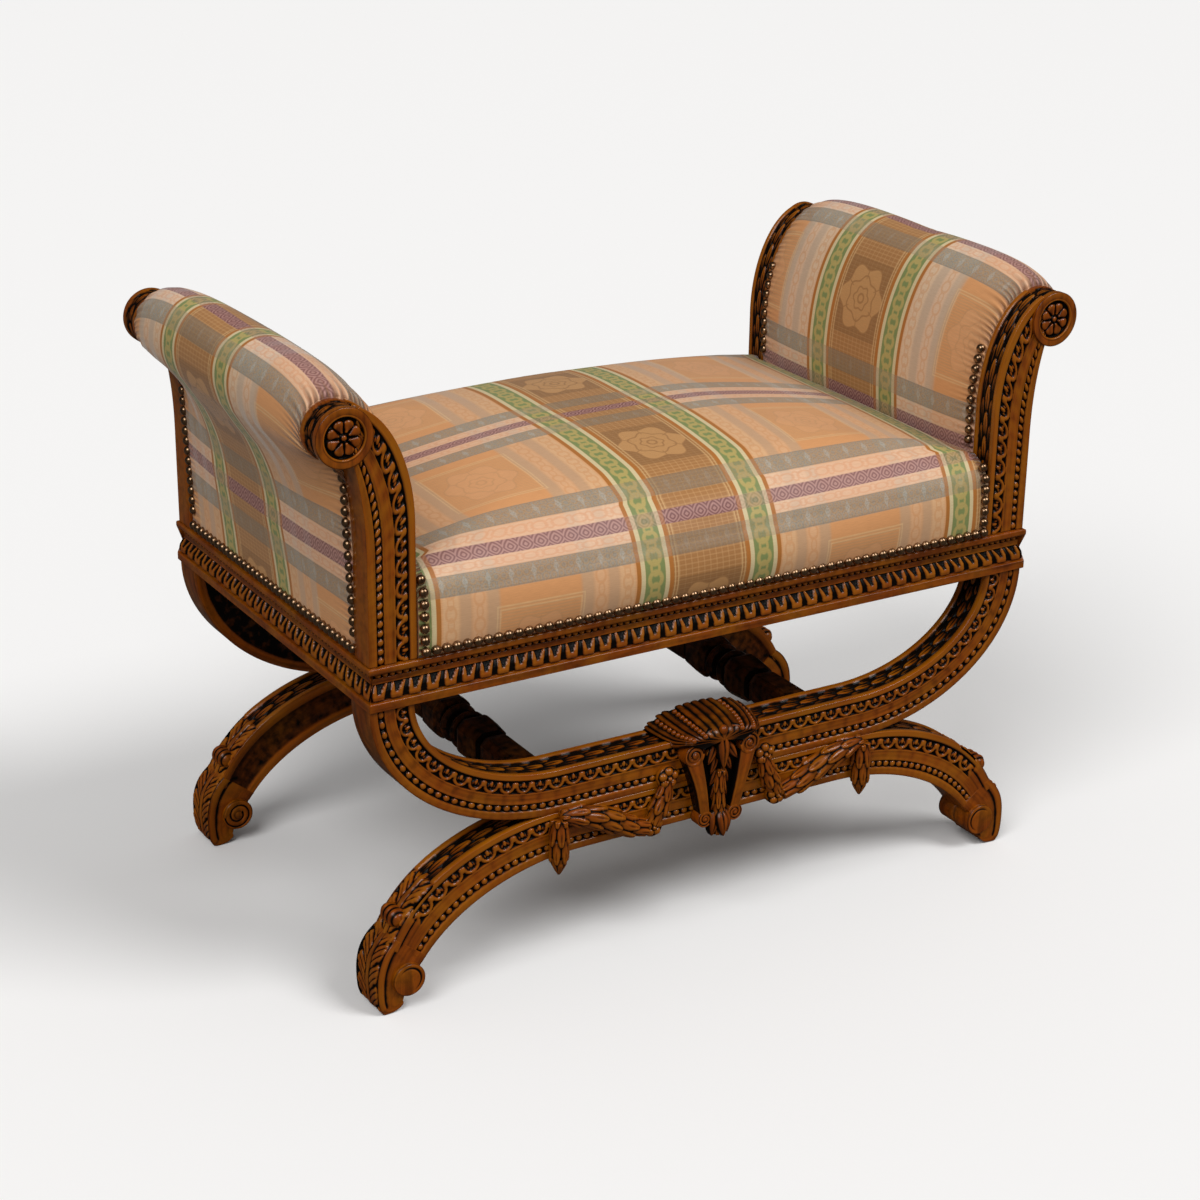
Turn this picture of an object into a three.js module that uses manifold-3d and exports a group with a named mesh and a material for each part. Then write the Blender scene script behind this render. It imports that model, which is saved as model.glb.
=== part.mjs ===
// A carved walnut window bench on two X frames, upholstered over the seat and over two scrolled arms.
// Millimetres. +X to the right, -Y to the front, +Z up. The origin is on the floor under the middle.
import * as THREE from "three";
import { mergeVertices } from "three/addons/utils/BufferGeometryUtils.js";
import Module from "manifold-3d";

const wasm = await Module();
wasm.setup();

// Seat frame: four moulded rails, mitred at the corners
const railLength = 864;
const railDepth = 512;
const railBottom = 361;
const railHeight = 49;
const railThick = 44;
const railRelief = 6.5;
const mitreGap = 0.15;
const jointGap = 0.3;

// Curved members of the X frames: a U-shaped cradle on an arch of two legs
const frameThick = 45;
const frameInset = 4;
const endInset = 2;
const memberWidth = 52;
const carvedDepth = 3.2;
const meetHeight = 190;
const cradleFlat = 200;
const legFlat = 169;
const legInset = 35;
const legSink = 20;
const kneeWidth = 58;
const ankleWidth = 46.5;
const ankleAngle = 63.8;
const kneeLumpRadius = 12;
const kneeLumpLength = 34;

// Feet: a volute on each side of a rounded toe that ends in a small pad on the floor
const voluteSetOut = 18.5;
const voluteHeight = 37.5;
const voluteRadius = 19;
const voluteProud = 7;
const footProud = 2;
const footOverlapAngle = 3;
const toeSetOut = 57;
const toeHeight = 36;
const padSetOut = 25;
const padLength = 21;
const eyeRadius = 8;
const eyeProud = 1.5;

// Arm posts, which end in scrolls with carved rosettes
const postWidth = 55.5;
const postThick = 34;
const postInset = 2.5;
const scrollOverhang = 22.5;
const scrollHeight = 663;
const scrollRadius = 32;
const scrollProud = 3;
const postCurveRise = 136;
const flareStartShare = 0.754;
const rosetteRadius = 22;
const rosetteDepth = 4.5;
const petalCount = 8;
const petalReach = 19.5;
const petalDip = 3;
const buttonRadius = 3.8;

// Stretchers between the X frames
const stretcherSetOut = 186.5;
const blockHalf = 20;
const swellHalf = 24;
const neckHalf = 10;
const ringHalf = 24.5;
const reelLength = 46;
const swellLength = 50;
const chamfer = 5;

// Tenons, and the splines that join the halves of each frame
const tenonWidth = 20;
const tenonThick = 16;
const tenonLength = 20;
const splineLength = 60;
const splineWidth = 22;
const splineThick = 10;

// Carved boss on the middle of each frame: a tapered plate, two curled straps, a husk and a fluted cap
const bossTopHalf = 46;
const bossFootHalf = 25;
const bossProud = 8;
const bossFoot = 119;
const strapWidth = 14;
const strapThick = 8;
const curlRadius = 13;
const ballRadius = 9;
const capRise = 22;
const capFrontHalf = 50;
const capBackHalf = 68;
const capProud = 20;
const capDrop = 16;
const capLobes = 7;

// Laurel swags beside the boss
const swagRadius = 12.5;
const swagLeafPitch = 20;
const tailSetOut = 205;
const tailLength = 73;

// Upholstery on the arms, and the rails inside it
const armPadThick = 20;
const armCover = 4;
const armBulge = 10;
const rollBulge = 7;
const crestBulge = 25;
const softGap = 0.5;
const armPadSinkShare = 0.4;
const topRailRadius = 20;
const tackRailRoom = 3;
const tackRailHeight = 44;
const tackRailRise = 30;

// Seat: webbing, hessian and a stuffed cushion
const webWidth = 50;
const webThick = 2;
const webOverlap = 22;
const webAcross = 6;
const webAlong = 3;
const hessianThick = 1;
const seatEdgeHeight = 510;
const seatCrown = 45;
const seatFrontBulge = 7;
const seatEdgeRadius = 38;
const seatSideGap = 1;
const blockLeg = 62;
const blockHeight = 34;

// Facet counts, and how far a cut runs past what it cuts
const curveSteps = 10;
const discSteps = 24;
const tubeSides = 6;
const overrun = 1;

// Places that follow from the sizes above
const halfLength = railLength / 2;
const halfDepth = railDepth / 2;
const railTop = railBottom + railHeight;
const frameFace = halfDepth - frameInset;
const frameBack = frameFace - frameThick;
const frameMiddle = (frameFace + frameBack) / 2;
const cradleTop = meetHeight + memberWidth;
const cradleEnd = halfLength - endInset - memberWidth / 2;
const legReach = halfLength - legInset - legFlat;
const legRise = meetHeight + legSink + endInset + jointGap - memberWidth;
const postOuter = halfLength - postInset;
const postInner = postOuter - postWidth;
const postBack = frameFace - postThick;
const scrollX = postOuter + scrollOverhang;
const curveFoot = scrollHeight + scrollRadius - postCurveRise;
const tenonX = postInner + tenonWidth / 2 + chamfer;
const tenonY = (frameFace + postBack) / 2 - endInset;
const swagLift = swagRadius / 2;
const armPadFoot = seatEdgeHeight - (seatEdgeHeight - railTop) * armPadSinkShare;
const tackRailFoot = armPadFoot + tackRailRise;
const hollowTop = tackRailFoot + tackRailHeight + chamfer;
const hollowInner = postInner + leanAt(hollowTop) + armPadThick - armBulge;
const hollowOuter = postOuter - armCover * 2;
const tackRailX = hollowInner + softGap;
const tackRailWidth = hollowOuter - tackRailRoom - tackRailX;
const seatHalf = postInner - armBulge - seatSideGap;

const walnut = { color: 0x6b3a16, roughness: 0.42, metalness: 0 };
const beech = { color: 0xa07a4c, roughness: 0.75, metalness: 0 };
const damask = { color: 0xd9a884, roughness: 0.7, metalness: 0 };
const jute = { color: 0xb09468, roughness: 0.9, metalness: 0 };

// The moulded section of the curved members. Across the front: a fillet, a bead channel, a fascia, a leaf
// channel and a fillet. Along the inner edge: a laurel channel. Across the hidden side: a sunk panel.
// The first number is a share of the width or thickness, and the second a share of the carved depth.
const frontShares = [
  [0, 0], [0.15, 0], [0.18, 1], [0.32, 1], [0.35, 0.25], [0.54, 0.25], [0.57, 1], [0.86, 1], [0.89, 0],
];
const edgeShares = [[0, 0], [0.14, 0], [0.18, 0.9], [0.82, 0.9], [0.86, 0]];
const backShares = [[0, 0], [0.2, 0], [0.24, 0.7], [0.76, 0.7], [0.8, 0]];

// The face of a rail: bottom fillet, leaf ogee, fascia, dart groove and top fillet. The first number is a
// share of the relief, and the second a share of the height.
const railShares = [
  [0, 0], [0, 0.2], [0.35, 0.22], [0.2, 0.3], [0.35, 0.42], [0.8, 0.52], [1, 0.58], [1, 0.72], [1.4, 0.73],
  [1.4, 0.83], [0.25, 0.84], [0, 0.88], [0, 0.96], [0.2, 1],
];

// Half of a stretcher from the middle out. Places are shares of the reel or the swelling, thicknesses are
// shares of the ring, the swelling or the block, and the last share says how far the corners are cut.
const reelShares = [[0, 0.66], [0.15, 0.68], [0.25, 1], [0.45, 1], [0.55, 0.8], [0.85, 0.74]];
const swellShares = [[0, 0.84, 0.4], [0.12, 1, 0.46], [0.8, 0.92, 0.42]];
const blockShares = [[0, 0.82], [0.1, 0.94], [1, 1]];

// How thick the swag and its tail are from end to end, as shares of the radius
const swagShares = [0.62, 0.8, 1, 1, 0.92, 0.8, 0.7];
const tailShares = [0.62, 0.85, 1, 0.75, 0.12];

// Where the rings of the soft forms stand, as shares of half their length
const armRingShares = [-1, -0.96, -0.86, -0.6, -0.2, 0.2, 0.6, 0.86, 0.96, 1];
const seatRingShares = [-1, -0.95, -0.85, -0.65, -0.35, 0, 0.35, 0.65, 0.85, 0.95, 1];
const seatCrownShares = [-0.72, -0.45, -0.15];

// The bench, with one group for each frame and for each end. The rear frame is the front one turned half a
// turn about the middle, and so is the left end.
const bench = new THREE.Group();

function halfTurned(turned) {
  const group = new THREE.Group();
  group.rotation.z = turned ? Math.PI : 0;
  bench.add(group);
  return group;
}

function addNode(group, name, solid, look, place = [0, 0, 0]) {
  const mesh = new THREE.Mesh(geometryOf(solid), new THREE.MeshStandardMaterial(look));
  mesh.name = name;
  mesh.position.set(...place);
  group.add(mesh);
}

function solidOf(geometry) {
  geometry.deleteAttribute("normal");
  geometry.deleteAttribute("uv");
  const merged = mergeVertices(geometry, 1e-4);
  const mesh = new wasm.Mesh({
    numProp: 3,
    vertProperties: merged.attributes.position.array,
    triVerts: new Uint32Array(merged.index.array),
  });
  return new wasm.Manifold(mesh);
}

function geometryOf(solid) {
  const mesh = solid.getMesh();
  const geometry = new THREE.BufferGeometry();
  geometry.setAttribute("position", new THREE.Float32BufferAttribute(mesh.vertProperties, 3));
  geometry.setIndex(Array.from(mesh.triVerts));
  return geometry;
}

// A closed surface through rings of points, with a flat cap on each end.
function loft(rings) {
  const count = rings[0].length;
  const faces = [];
  for (let k = 0; k + 1 < rings.length; k++) {
    for (let i = 0; i < count; i++) {
      const a = k * count + i;
      const b = k * count + ((i + 1) % count);
      faces.push([a, b, a + count], [b, b + count, a + count]);
    }
  }
  const last = (rings.length - 1) * count;
  for (const [a, b, c] of capOf(rings[0])) faces.push([a, c, b]);
  for (const [a, b, c] of capOf(rings[rings.length - 1])) faces.push([last + a, last + b, last + c]);
  const geometry = new THREE.BufferGeometry();
  geometry.setAttribute("position", new THREE.Float32BufferAttribute(rings.flat(2), 3));
  geometry.setIndex(faces.flat());
  const solid = solidOf(geometry);
  if (solid.volume() > 0) return solid;
  geometry.setIndex(faces.flatMap(([a, b, c]) => [a, c, b]));
  return solidOf(geometry);
}

// The triangles of a flat ring, which all turn the way that the ring does.
function capOf(ring) {
  const normal = new THREE.Vector3();
  ring.forEach((p, i) => {
    const q = ring[(i + 1) % ring.length];
    const [from, to] = [new THREE.Vector3(...p), new THREE.Vector3(...q)];
    normal.add(from.cross(to));
  });
  normal.normalize();
  const across = new THREE.Vector3(normal.y, normal.z, normal.x).cross(normal).normalize();
  const up = new THREE.Vector3().crossVectors(normal, across);
  const flat = ring.map((p) => {
    const point = new THREE.Vector3(...p);
    return new THREE.Vector2(point.dot(across), point.dot(up));
  });
  return THREE.ShapeUtils.triangulateShape(flat, []);
}

// A box from its lowest and highest corners.
function block(low, high) {
  const size = high.map((h, i) => h - low[i]);
  const middle = high.map((h, i) => (h + low[i]) / 2);
  return solidOf(new THREE.BoxGeometry(...size).translate(...middle));
}

// A box from its middle and its half sizes.
function blockAt(middle, half) {
  return block(middle.map((m, i) => m - half[i]), middle.map((m, i) => m + half[i]));
}

// A disc whose axis runs along Y, from one depth to another.
function disc(x, z, radius, y0, y1, steps = discSteps) {
  const geometry = new THREE.CylinderGeometry(radius, radius, Math.abs(y1 - y0), steps);
  return solidOf(geometry.translate(x, (y0 + y1) / 2, z));
}

// A ball or an egg from its middle and half sizes.
function egg(middle, half, around = 10, tall = 6) {
  const geometry = new THREE.SphereGeometry(1, around, tall);
  return solidOf(geometry.scale(...half).translate(...middle));
}

// A slab with an outline in X and Z, from a front face back to a depth behind it.
function slab(outline, face, depth, curveSegments = 5) {
  const geometry = new THREE.ExtrudeGeometry(outline, { depth, bevelEnabled: false, curveSegments });
  return solidOf(geometry.rotateX(Math.PI / 2).translate(0, depth - face, 0));
}

function joined(solids) {
  return solids.reduce((whole, next) => whole.add(next));
}

function mirrored(solid) {
  return solid.mirror([1, 0, 0]);
}

// One ring of the moulded section between a point on the outer edge and a point on the inner edge.
function memberRing(outer, inner, thick, panelled) {
  const width = Math.hypot(inner[0] - outer[0], inner[1] - outer[1]);
  const at = (across, deep) => [
    outer[0] + (inner[0] - outer[0]) * across,
    deep - frameFace,
    outer[1] + (inner[1] - outer[1]) * across,
  ];
  const ring = frontShares.map(([share, cut]) => at(share, cut * carvedDepth));
  for (const [share, cut] of edgeShares) ring.push(at(1 - (cut * carvedDepth) / width, share * thick));
  const back = panelled ? backShares : [[0, 0]];
  for (const [share, cut] of back) ring.push(at(1 - share, thick - cut * carvedDepth));
  ring.push(at(0, thick));
  return ring;
}

// Half of the cradle: a quarter of an ellipse that comes down from the rail, then a straight run to the
// middle, with a tenon up into the rail.
function cradle() {
  const reach = cradleEnd - cradleFlat;
  const drop = railBottom - meetHeight - memberWidth / 2;
  const rings = [];
  for (let k = 0; k <= curveSteps; k++) {
    const turn = (k / curveSteps) * (Math.PI / 2);
    const x = cradleFlat + reach * Math.cos(turn);
    const z = railBottom - drop * Math.sin(turn);
    const normal = new THREE.Vector2(Math.cos(turn) / reach, -Math.sin(turn) / drop);
    normal.setLength(memberWidth / 2);
    rings.push(memberRing([x + normal.x, z + normal.y], [x - normal.x, z - normal.y], frameThick, true));
  }
  rings.push(memberRing([mitreGap, meetHeight], [mitreGap, cradleTop], frameThick, true));
  const slice = block([0, -halfDepth, railBottom - jointGap], [halfLength, 0, railBottom + overrun]);
  const tenon = tenonBlock(railBottom - carvedDepth, railBottom + tenonLength, 0);
  const cuts = splineBlock(cradleTop - memberWidth / 2, jointGap).add(stretcherMortise(jointGap));
  return loft(rings).subtract(slice).add(tenon).subtract(cuts);
}

// The tenon of a post or a cradle, or with a gap the mortise for it.
function tenonBlock(low, high, gap) {
  const half = [tenonWidth / 2 + gap, tenonThick / 2 + gap];
  return block([tenonX - half[0], -tenonY - half[1], low], [tenonX + half[0], half[1] - tenonY, high]);
}

// The loose spline across the middle of a frame, or with a gap the slot for it.
function splineBlock(height, gap) {
  const half = [splineLength / 2 + gap, splineThick / 2 + gap, splineWidth / 2 + gap];
  return blockAt([0, -frameMiddle, height], half);
}

// The mortise for the end of a stretcher, cut where cradle and leg meet.
function stretcherMortise(gap) {
  const half = neckHalf + gap;
  return block(
    [stretcherSetOut - half, -frameBack - tenonLength - gap, meetHeight - half],
    [stretcherSetOut + half, overrun - frameBack, meetHeight + half],
  );
}

// A leg's width at an angle round its curve: it swells to the knee and narrows to the ankle.
function legWidth(turn) {
  const kneeShare = 0.62;
  const share = turn / THREE.MathUtils.degToRad(ankleAngle);
  if (share > kneeShare) {
    const fall = (share - kneeShare) / (1 - kneeShare);
    return kneeWidth - (kneeWidth - ankleWidth) * fall * fall;
  }
  const hip = memberWidth - endInset;
  return hip + (kneeWidth - hip) * Math.sin((share / kneeShare) * (Math.PI / 2));
}

// A leg's edge on the floor side, which is part of an ellipse, and the edge above it.
function legEdges(degrees) {
  const turn = THREE.MathUtils.degToRad(degrees);
  const under = [legFlat + legReach * Math.sin(turn), legRise * Math.cos(turn) - legSink];
  const normal = new THREE.Vector2(Math.sin(turn) / legReach, Math.cos(turn) / legRise);
  normal.setLength(legWidth(turn));
  return [under, [under[0] + normal.x, under[1] + normal.y]];
}

// Half of the arch: a straight run from the middle, then a curved leg that ends in its foot.
function leg() {
  const rings = [];
  for (let k = curveSteps; k >= 0; k--) {
    rings.push(memberRing(...legEdges((ankleAngle * k) / curveSteps), frameThick, true));
  }
  const [under, over] = legEdges(0);
  rings.push(memberRing([mitreGap, under[1]], [mitreGap, over[1]], frameThick, true));
  const ceiling = block([0, -halfDepth, meetHeight - jointGap], [halfLength, 0, railBottom]);
  const spline = splineBlock(meetHeight - memberWidth / 2, jointGap);
  const body = loft(rings).subtract(joined([spline, stretcherMortise(jointGap), ceiling]));
  return joined([body, foot(), kneeLump()]);
}

// The rounded leaf tip that curls off the top of the knee.
function kneeLump() {
  const [, over] = legEdges(ankleAngle * 0.88);
  return egg([over[0], -frameMiddle, over[1]], [kneeLumpRadius, kneeLumpLength / 2, kneeLumpRadius]);
}

function foot() {
  const [under, over] = legEdges(ankleAngle - footOverlapAngle);
  const [ankle] = legEdges(ankleAngle);
  const voluteX = ankle[0] + voluteSetOut;
  const toeX = ankle[0] + toeSetOut;
  const padX = ankle[0] + padSetOut;
  const outline = new THREE.Shape();
  outline.moveTo(...under);
  outline.lineTo(...over);
  outline.quadraticCurveTo(toeX, toeHeight * 2, toeX, toeHeight);
  outline.quadraticCurveTo(toeX, 0, padX + padLength, 0);
  outline.lineTo(padX, 0);
  outline.quadraticCurveTo(voluteX, 0, voluteX, voluteHeight - voluteRadius);
  outline.lineTo(voluteX, voluteHeight);
  const front = frameFace + voluteProud;
  const volute = disc(voluteX, voluteHeight, voluteRadius, -front, voluteProud - frameBack);
  const eye = disc(voluteX, voluteHeight, eyeRadius, -front - eyeProud, overrun - front, discSteps / 2);
  return joined([slab(outline, frameFace + footProud, frameThick + footProud * 2), volute, eye]);
}

// How far the inner edge of a post has leaned outwards at a height.
function leanAt(height) {
  const share = Math.max(0, (height - curveFoot) / postCurveRise);
  return (scrollX - postInner) * (1 - Math.sqrt(1 - share * share));
}

// The two edges of an arm post. The inner edge is straight, then a quarter of an ellipse that runs over the
// top of the scroll. The outer edge is straight, then flares to the underside of the scroll.
function postEdges(share) {
  const turn = share * (Math.PI / 2);
  const inner = [
    scrollX - (scrollX - postInner) * Math.cos(turn),
    curveFoot + postCurveRise * Math.sin(turn),
  ];
  const low = railTop + (curveFoot - railTop) * flareStartShare;
  const high = scrollHeight - scrollRadius * 0.8;
  const rise = Math.min(1, share * 1.15);
  const outer = [postOuter + scrollOverhang * 0.6 * rise ** 2.4, low + (high - low) * rise];
  return [outer, inner];
}

function post() {
  const rings = [memberRing([postOuter, railTop + jointGap], [postInner, railTop + jointGap], postThick)];
  for (let k = 0; k <= curveSteps; k++) {
    rings.push(memberRing(...postEdges((k / curveSteps) * 0.86), postThick));
  }
  const tenon = tenonBlock(railTop - tenonLength, railTop + carvedDepth, 0);
  const sockets = topRail(jointGap).add(tackRail(jointGap));
  return joined([loft(rings), tenon, scroll()]).subtract(sockets);
}

// The scroll head: a disc with a raised rim round a rosette.
function scroll() {
  const face = frameFace + scrollProud;
  const head = disc(scrollX, scrollHeight, scrollRadius, -face, -postBack);
  const dish = disc(scrollX, scrollHeight, rosetteRadius, -face - overrun, rosetteDepth - face);
  return head.subtract(dish).add(rosette(rosetteDepth - face));
}

// The rosette stands on the floor of its dish. It is a shallow disc whose height and reach swell and fall
// once for each petal, round a button.
function rosette(floor) {
  const around = petalCount * 4;
  const profile = [
    [petalReach, -overrun, false],
    [petalReach, 0, true],
    [petalReach * 0.66, rosetteDepth * 0.8, true],
    [buttonRadius * 1.3, rosetteDepth * 0.35, false],
    [buttonRadius, rosetteDepth, false],
  ];
  const rings = profile.map(([reach, height, petalled]) => {
    const ring = [];
    for (let i = 0; i < around; i++) {
      const turn = (i / around) * 2 * Math.PI;
      const fall = petalled ? 1 - Math.abs(Math.cos((turn * petalCount) / 2)) ** 0.7 : 0;
      const radius = reach - petalDip * fall;
      const y = floor - height * (1 - fall * 0.6);
      ring.push([scrollX + radius * Math.cos(turn), y, scrollHeight + radius * Math.sin(turn)]);
    }
    return ring;
  });
  return loft(rings);
}

// A rail along X at the front. Each point stops at its own distance in, so that the ends are mitred.
function rail(length, depth) {
  const ends = [-1, 1].map((sign) => {
    const place = (inset, z) => [sign * (length / 2 - inset - mitreGap), inset - depth / 2, z];
    const ring = railShares.map(([share, rise]) => place(share * railRelief, railBottom + rise * railHeight));
    ring.push(place(railThick, railTop), place(railThick, railBottom));
    return ring;
  });
  return loft(ends);
}

// A long rail, with mortises for the posts above it and the cradles below it.
function longRail() {
  const cut = mortises();
  return rail(railLength, railDepth).subtract(cut).subtract(mirrored(cut));
}

// An end rail, which gives way where a tenon reaches past the mitre.
function endRail() {
  const cut = mortises();
  return rail(railDepth, railLength).rotate([0, 0, 90]).subtract(cut).subtract(cut.mirror([0, 1, 0]));
}

// The mortises in one corner, for the tenon of the post above and the tenon of the cradle below.
function mortises() {
  const above = tenonBlock(railTop - tenonLength - jointGap, railTop + overrun, jointGap);
  const below = tenonBlock(railBottom - overrun, railBottom + tenonLength + jointGap, jointGap);
  return above.add(below);
}

// A glued block across the inside of a corner, with its outer corner cut back.
function cornerBlock() {
  const x = halfLength - railThick - jointGap;
  const y = halfDepth - railThick - jointGap;
  const outline = new THREE.Shape();
  outline.moveTo(x - chamfer, -y);
  outline.lineTo(x, chamfer - y);
  outline.lineTo(x, blockLeg - y);
  outline.lineTo(x - chamfer * 2, blockLeg - y);
  outline.lineTo(x - blockLeg, chamfer * 2 - y);
  outline.lineTo(x - blockLeg, -y);
  const geometry = new THREE.ExtrudeGeometry(outline, { depth: blockHeight, bevelEnabled: false });
  return solidOf(geometry.translate(0, 0, railTop - blockHeight - webThick * 2));
}

// A ring of sixteen points round a stretcher: a square with its corners cut, or a circle.
function stretcherRing(y, half, cut) {
  const corners = [];
  for (let k = 0; k < 8; k++) {
    const turn = (k + 0.5) * (Math.PI / 4);
    const [x, z] = [Math.cos(turn), Math.sin(turn)];
    const wide = Math.abs(x) > Math.abs(z);
    const [long, short] = [half, half - cut];
    corners.push([Math.sign(x) * (wide ? long : short), Math.sign(z) * (wide ? short : long)]);
  }
  const ring = corners.flatMap((p, k) => {
    const q = corners[(k + 1) % 8];
    return [p, [(p[0] + q[0]) / 2, (p[1] + q[1]) / 2]];
  });
  return ring.map(([x, z]) => {
    const scale = cut ? 1 : half / Math.hypot(x, z);
    return [x * scale, y, z * scale];
  });
}

// A turned and faceted stretcher, in its own frame: a ringed reel in the middle, a faceted swelling on each
// side of it, and square blocks at the ends with their tenons.
function stretcher() {
  const reel = reelLength / 2;
  const blockStart = reel + swellLength;
  const end = frameBack - jointGap;
  const half = [
    ...reelShares.map(([place, thick]) => [place * reel, thick * ringHalf, 0]),
    ...swellShares.map(([place, thick, cut]) => [reel + place * swellLength, thick * swellHalf, cut * swellHalf]),
    ...blockShares.map(([place, thick]) => [blockStart + place * (end - blockStart), thick * blockHalf, chamfer]),
  ];
  const rear = half.map((station) => stretcherRing(...station));
  const front = half.slice(1).map(([y, ...rest]) => stretcherRing(-y, ...rest));
  const tenons = blockAt([0, 0, 0], [neckHalf, frameBack + tenonLength, neckHalf]);
  return loft([...front.reverse(), ...rear]).add(tenons);
}

// The boss: a tapered plate with a strap down each side, a husk between them and the cap over them.
function boss() {
  const shoulder = bossFoot + ballRadius * 2;
  const outline = new THREE.Shape();
  outline.moveTo(-bossTopHalf, cradleTop);
  outline.lineTo(-bossFootHalf, shoulder);
  outline.quadraticCurveTo(-bossFootHalf / 2, bossFoot, 0, bossFoot);
  outline.quadraticCurveTo(bossFootHalf / 2, bossFoot, bossFootHalf, shoulder);
  outline.lineTo(bossTopHalf, cradleTop);
  const plate = slab(outline, frameFace + bossProud, bossProud - jointGap);
  const huskHalf = (cradleTop - bossFoot) / 2;
  const husk = egg([0, -frameFace - bossProud, bossFoot + huskHalf], [ballRadius, ballRadius * 1.3, huskHalf], 8);
  const right = strap();
  const frameRoom = block(
    [-capBackHalf * 2, -frameFace - jointGap, 0],
    [capBackHalf * 2, overrun - frameBack, cradleTop + jointGap],
  );
  return joined([plate, husk, bossCap(), right, mirrored(right)]).subtract(frameRoom);
}

// A strap of the boss: it curls at the top and runs down to a ball at the foot.
function strap() {
  const curlX = bossTopHalf - curlRadius;
  const curlZ = cradleTop - curlRadius * 0.6;
  const footX = bossFootHalf - ballRadius * 0.7;
  const footZ = bossFoot + ballRadius * 3;
  const outline = new THREE.Shape();
  outline.moveTo(curlX + curlRadius, curlZ);
  outline.lineTo(footX + strapWidth / 2, footZ);
  outline.lineTo(footX - strapWidth / 2, footZ);
  outline.lineTo(curlX - curlRadius / 2, curlZ);
  const front = frameFace + bossProud + strapThick;
  const bar = slab(outline, front, front - frameFace - jointGap);
  const curl = disc(curlX, curlZ, curlRadius, -front - eyeProud, -frameFace - jointGap, discSteps / 2);
  const eye = disc(curlX, curlZ, curlRadius * 0.4, -front - eyeProud * 2, -front, discSteps / 3);
  const ball = egg([footX, strapThick / 2 - front, footZ - ballRadius / 2], Array(3).fill(ballRadius));
  return joined([bar, curl, eye, ball]);
}

// The fluted cap: lobes that fan over the top of the cradle from its face to its back.
function bossCap() {
  const rings = [];
  const steps = curveSteps / 2;
  const across = capLobes * 3;
  for (let k = 0; k <= steps; k++) {
    const share = k / steps;
    const swell = Math.sin(share * (Math.PI / 2));
    const y = share * (capProud + frameThick) - frameFace - capProud;
    const half = capFrontHalf + (capBackHalf - capFrontHalf) * swell;
    const foot = cradleTop - capDrop * (1 - share / 2);
    const top = cradleTop + capRise * (0.1 + 0.9 * swell);
    const ring = [];
    for (let i = 0; i <= across; i++) {
      const turn = (i / across) * Math.PI;
      const lobe = 0.95 + 0.05 * Math.abs(Math.sin(turn * capLobes));
      ring.push([half * lobe * Math.cos(turn), y, foot + (top - foot) * lobe * Math.sin(turn) ** 0.7]);
    }
    rings.push(ring);
  }
  return loft(rings);
}

// A laurel swag: leaves round a line that hangs from the boss, dips to a flower and rises to its tail.
function swag() {
  const knot = [bossTopHalf + swagRadius * 0.8, meetHeight + swagRadius];
  const dip = [knot[0] + swagRadius * 2.2, meetHeight - memberWidth * 0.9];
  const rise = [tailSetOut, meetHeight - swagRadius * 0.6];
  const between = (right, up) => new THREE.Vector2(
    dip[0] + (rise[0] - dip[0]) * right,
    dip[1] + (rise[1] - dip[1]) * up,
  );
  const line = new THREE.SplineCurve([
    new THREE.Vector2(...knot),
    new THREE.Vector2((knot[0] + dip[0]) / 2 - swagRadius * 0.3, (knot[1] + dip[1]) / 2),
    new THREE.Vector2(...dip),
    between(0.28, 0.4),
    between(0.65, 0.82),
    new THREE.Vector2(...rise),
  ]);
  const tail = new THREE.LineCurve(
    new THREE.Vector2(tailSetOut, meetHeight - swagRadius * 0.2),
    new THREE.Vector2(tailSetOut, meetHeight - tailLength),
  );
  const flower = egg([dip[0], -frameFace - swagLift, dip[1]], Array(3).fill(swagRadius * 1.2));
  const inFront = block([0, -railDepth, 0], [halfLength, -frameFace - jointGap, railBottom]);
  const whole = joined([leafTube(line, swagShares), leafTube(tail, tailShares), flower]);
  return whole.intersect(inFront).subtract(bossRoom());
}

// The space of the boss, which the swag stops short of.
function bossRoom() {
  const edge = bossTopHalf + jointGap * 2;
  const foot = bossFoot - ballRadius;
  const outline = new THREE.Shape();
  outline.moveTo(0, railBottom);
  outline.lineTo(0, foot);
  outline.lineTo(bossFootHalf + ballRadius, foot);
  outline.lineTo(edge, meetHeight);
  outline.lineTo(edge, railBottom);
  return slab(outline, railDepth, railDepth);
}

// A tube round a line whose radius steps up and falls back once a leaf, as laurel leaves overlap.
function leafTube(curve, radiusShares) {
  const steps = 2 * Math.max(2, Math.round(curve.getLength() / swagLeafPitch));
  const rings = [];
  for (let k = 0; k <= steps; k++) {
    const point = curve.getPointAt(k / steps);
    const along = curve.getTangentAt(k / steps);
    const place = (k / steps) * (radiusShares.length - 1);
    const low = Math.min(Math.floor(place), radiusShares.length - 2);
    const thick = THREE.MathUtils.lerp(radiusShares[low], radiusShares[low + 1], place - low);
    const radius = swagRadius * thick * (k % 2 ? 1 : 0.8);
    const ring = [];
    for (let i = 0; i < tubeSides; i++) {
      const turn = (i / tubeSides) * 2 * Math.PI;
      const side = Math.cos(turn) * radius;
      const y = -frameFace - swagLift - Math.sin(turn) * radius;
      ring.push([point.x + along.y * side, y, point.y - along.x * side]);
    }
    rings.push(ring);
  }
  return loft(rings);
}

// The round rail inside the roll of an arm, with stub tenons. With a gap it is the room for it.
function topRail(gap) {
  const reach = postBack - jointGap + gap;
  const round = disc(scrollX, scrollHeight, topRailRadius + gap, -reach, reach, discSteps / 2);
  const half = topRailRadius / 2 + gap;
  return round.add(blockAt([scrollX, 0, scrollHeight], [half, postBack + tenonThick / 2 + gap, half]));
}

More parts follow.
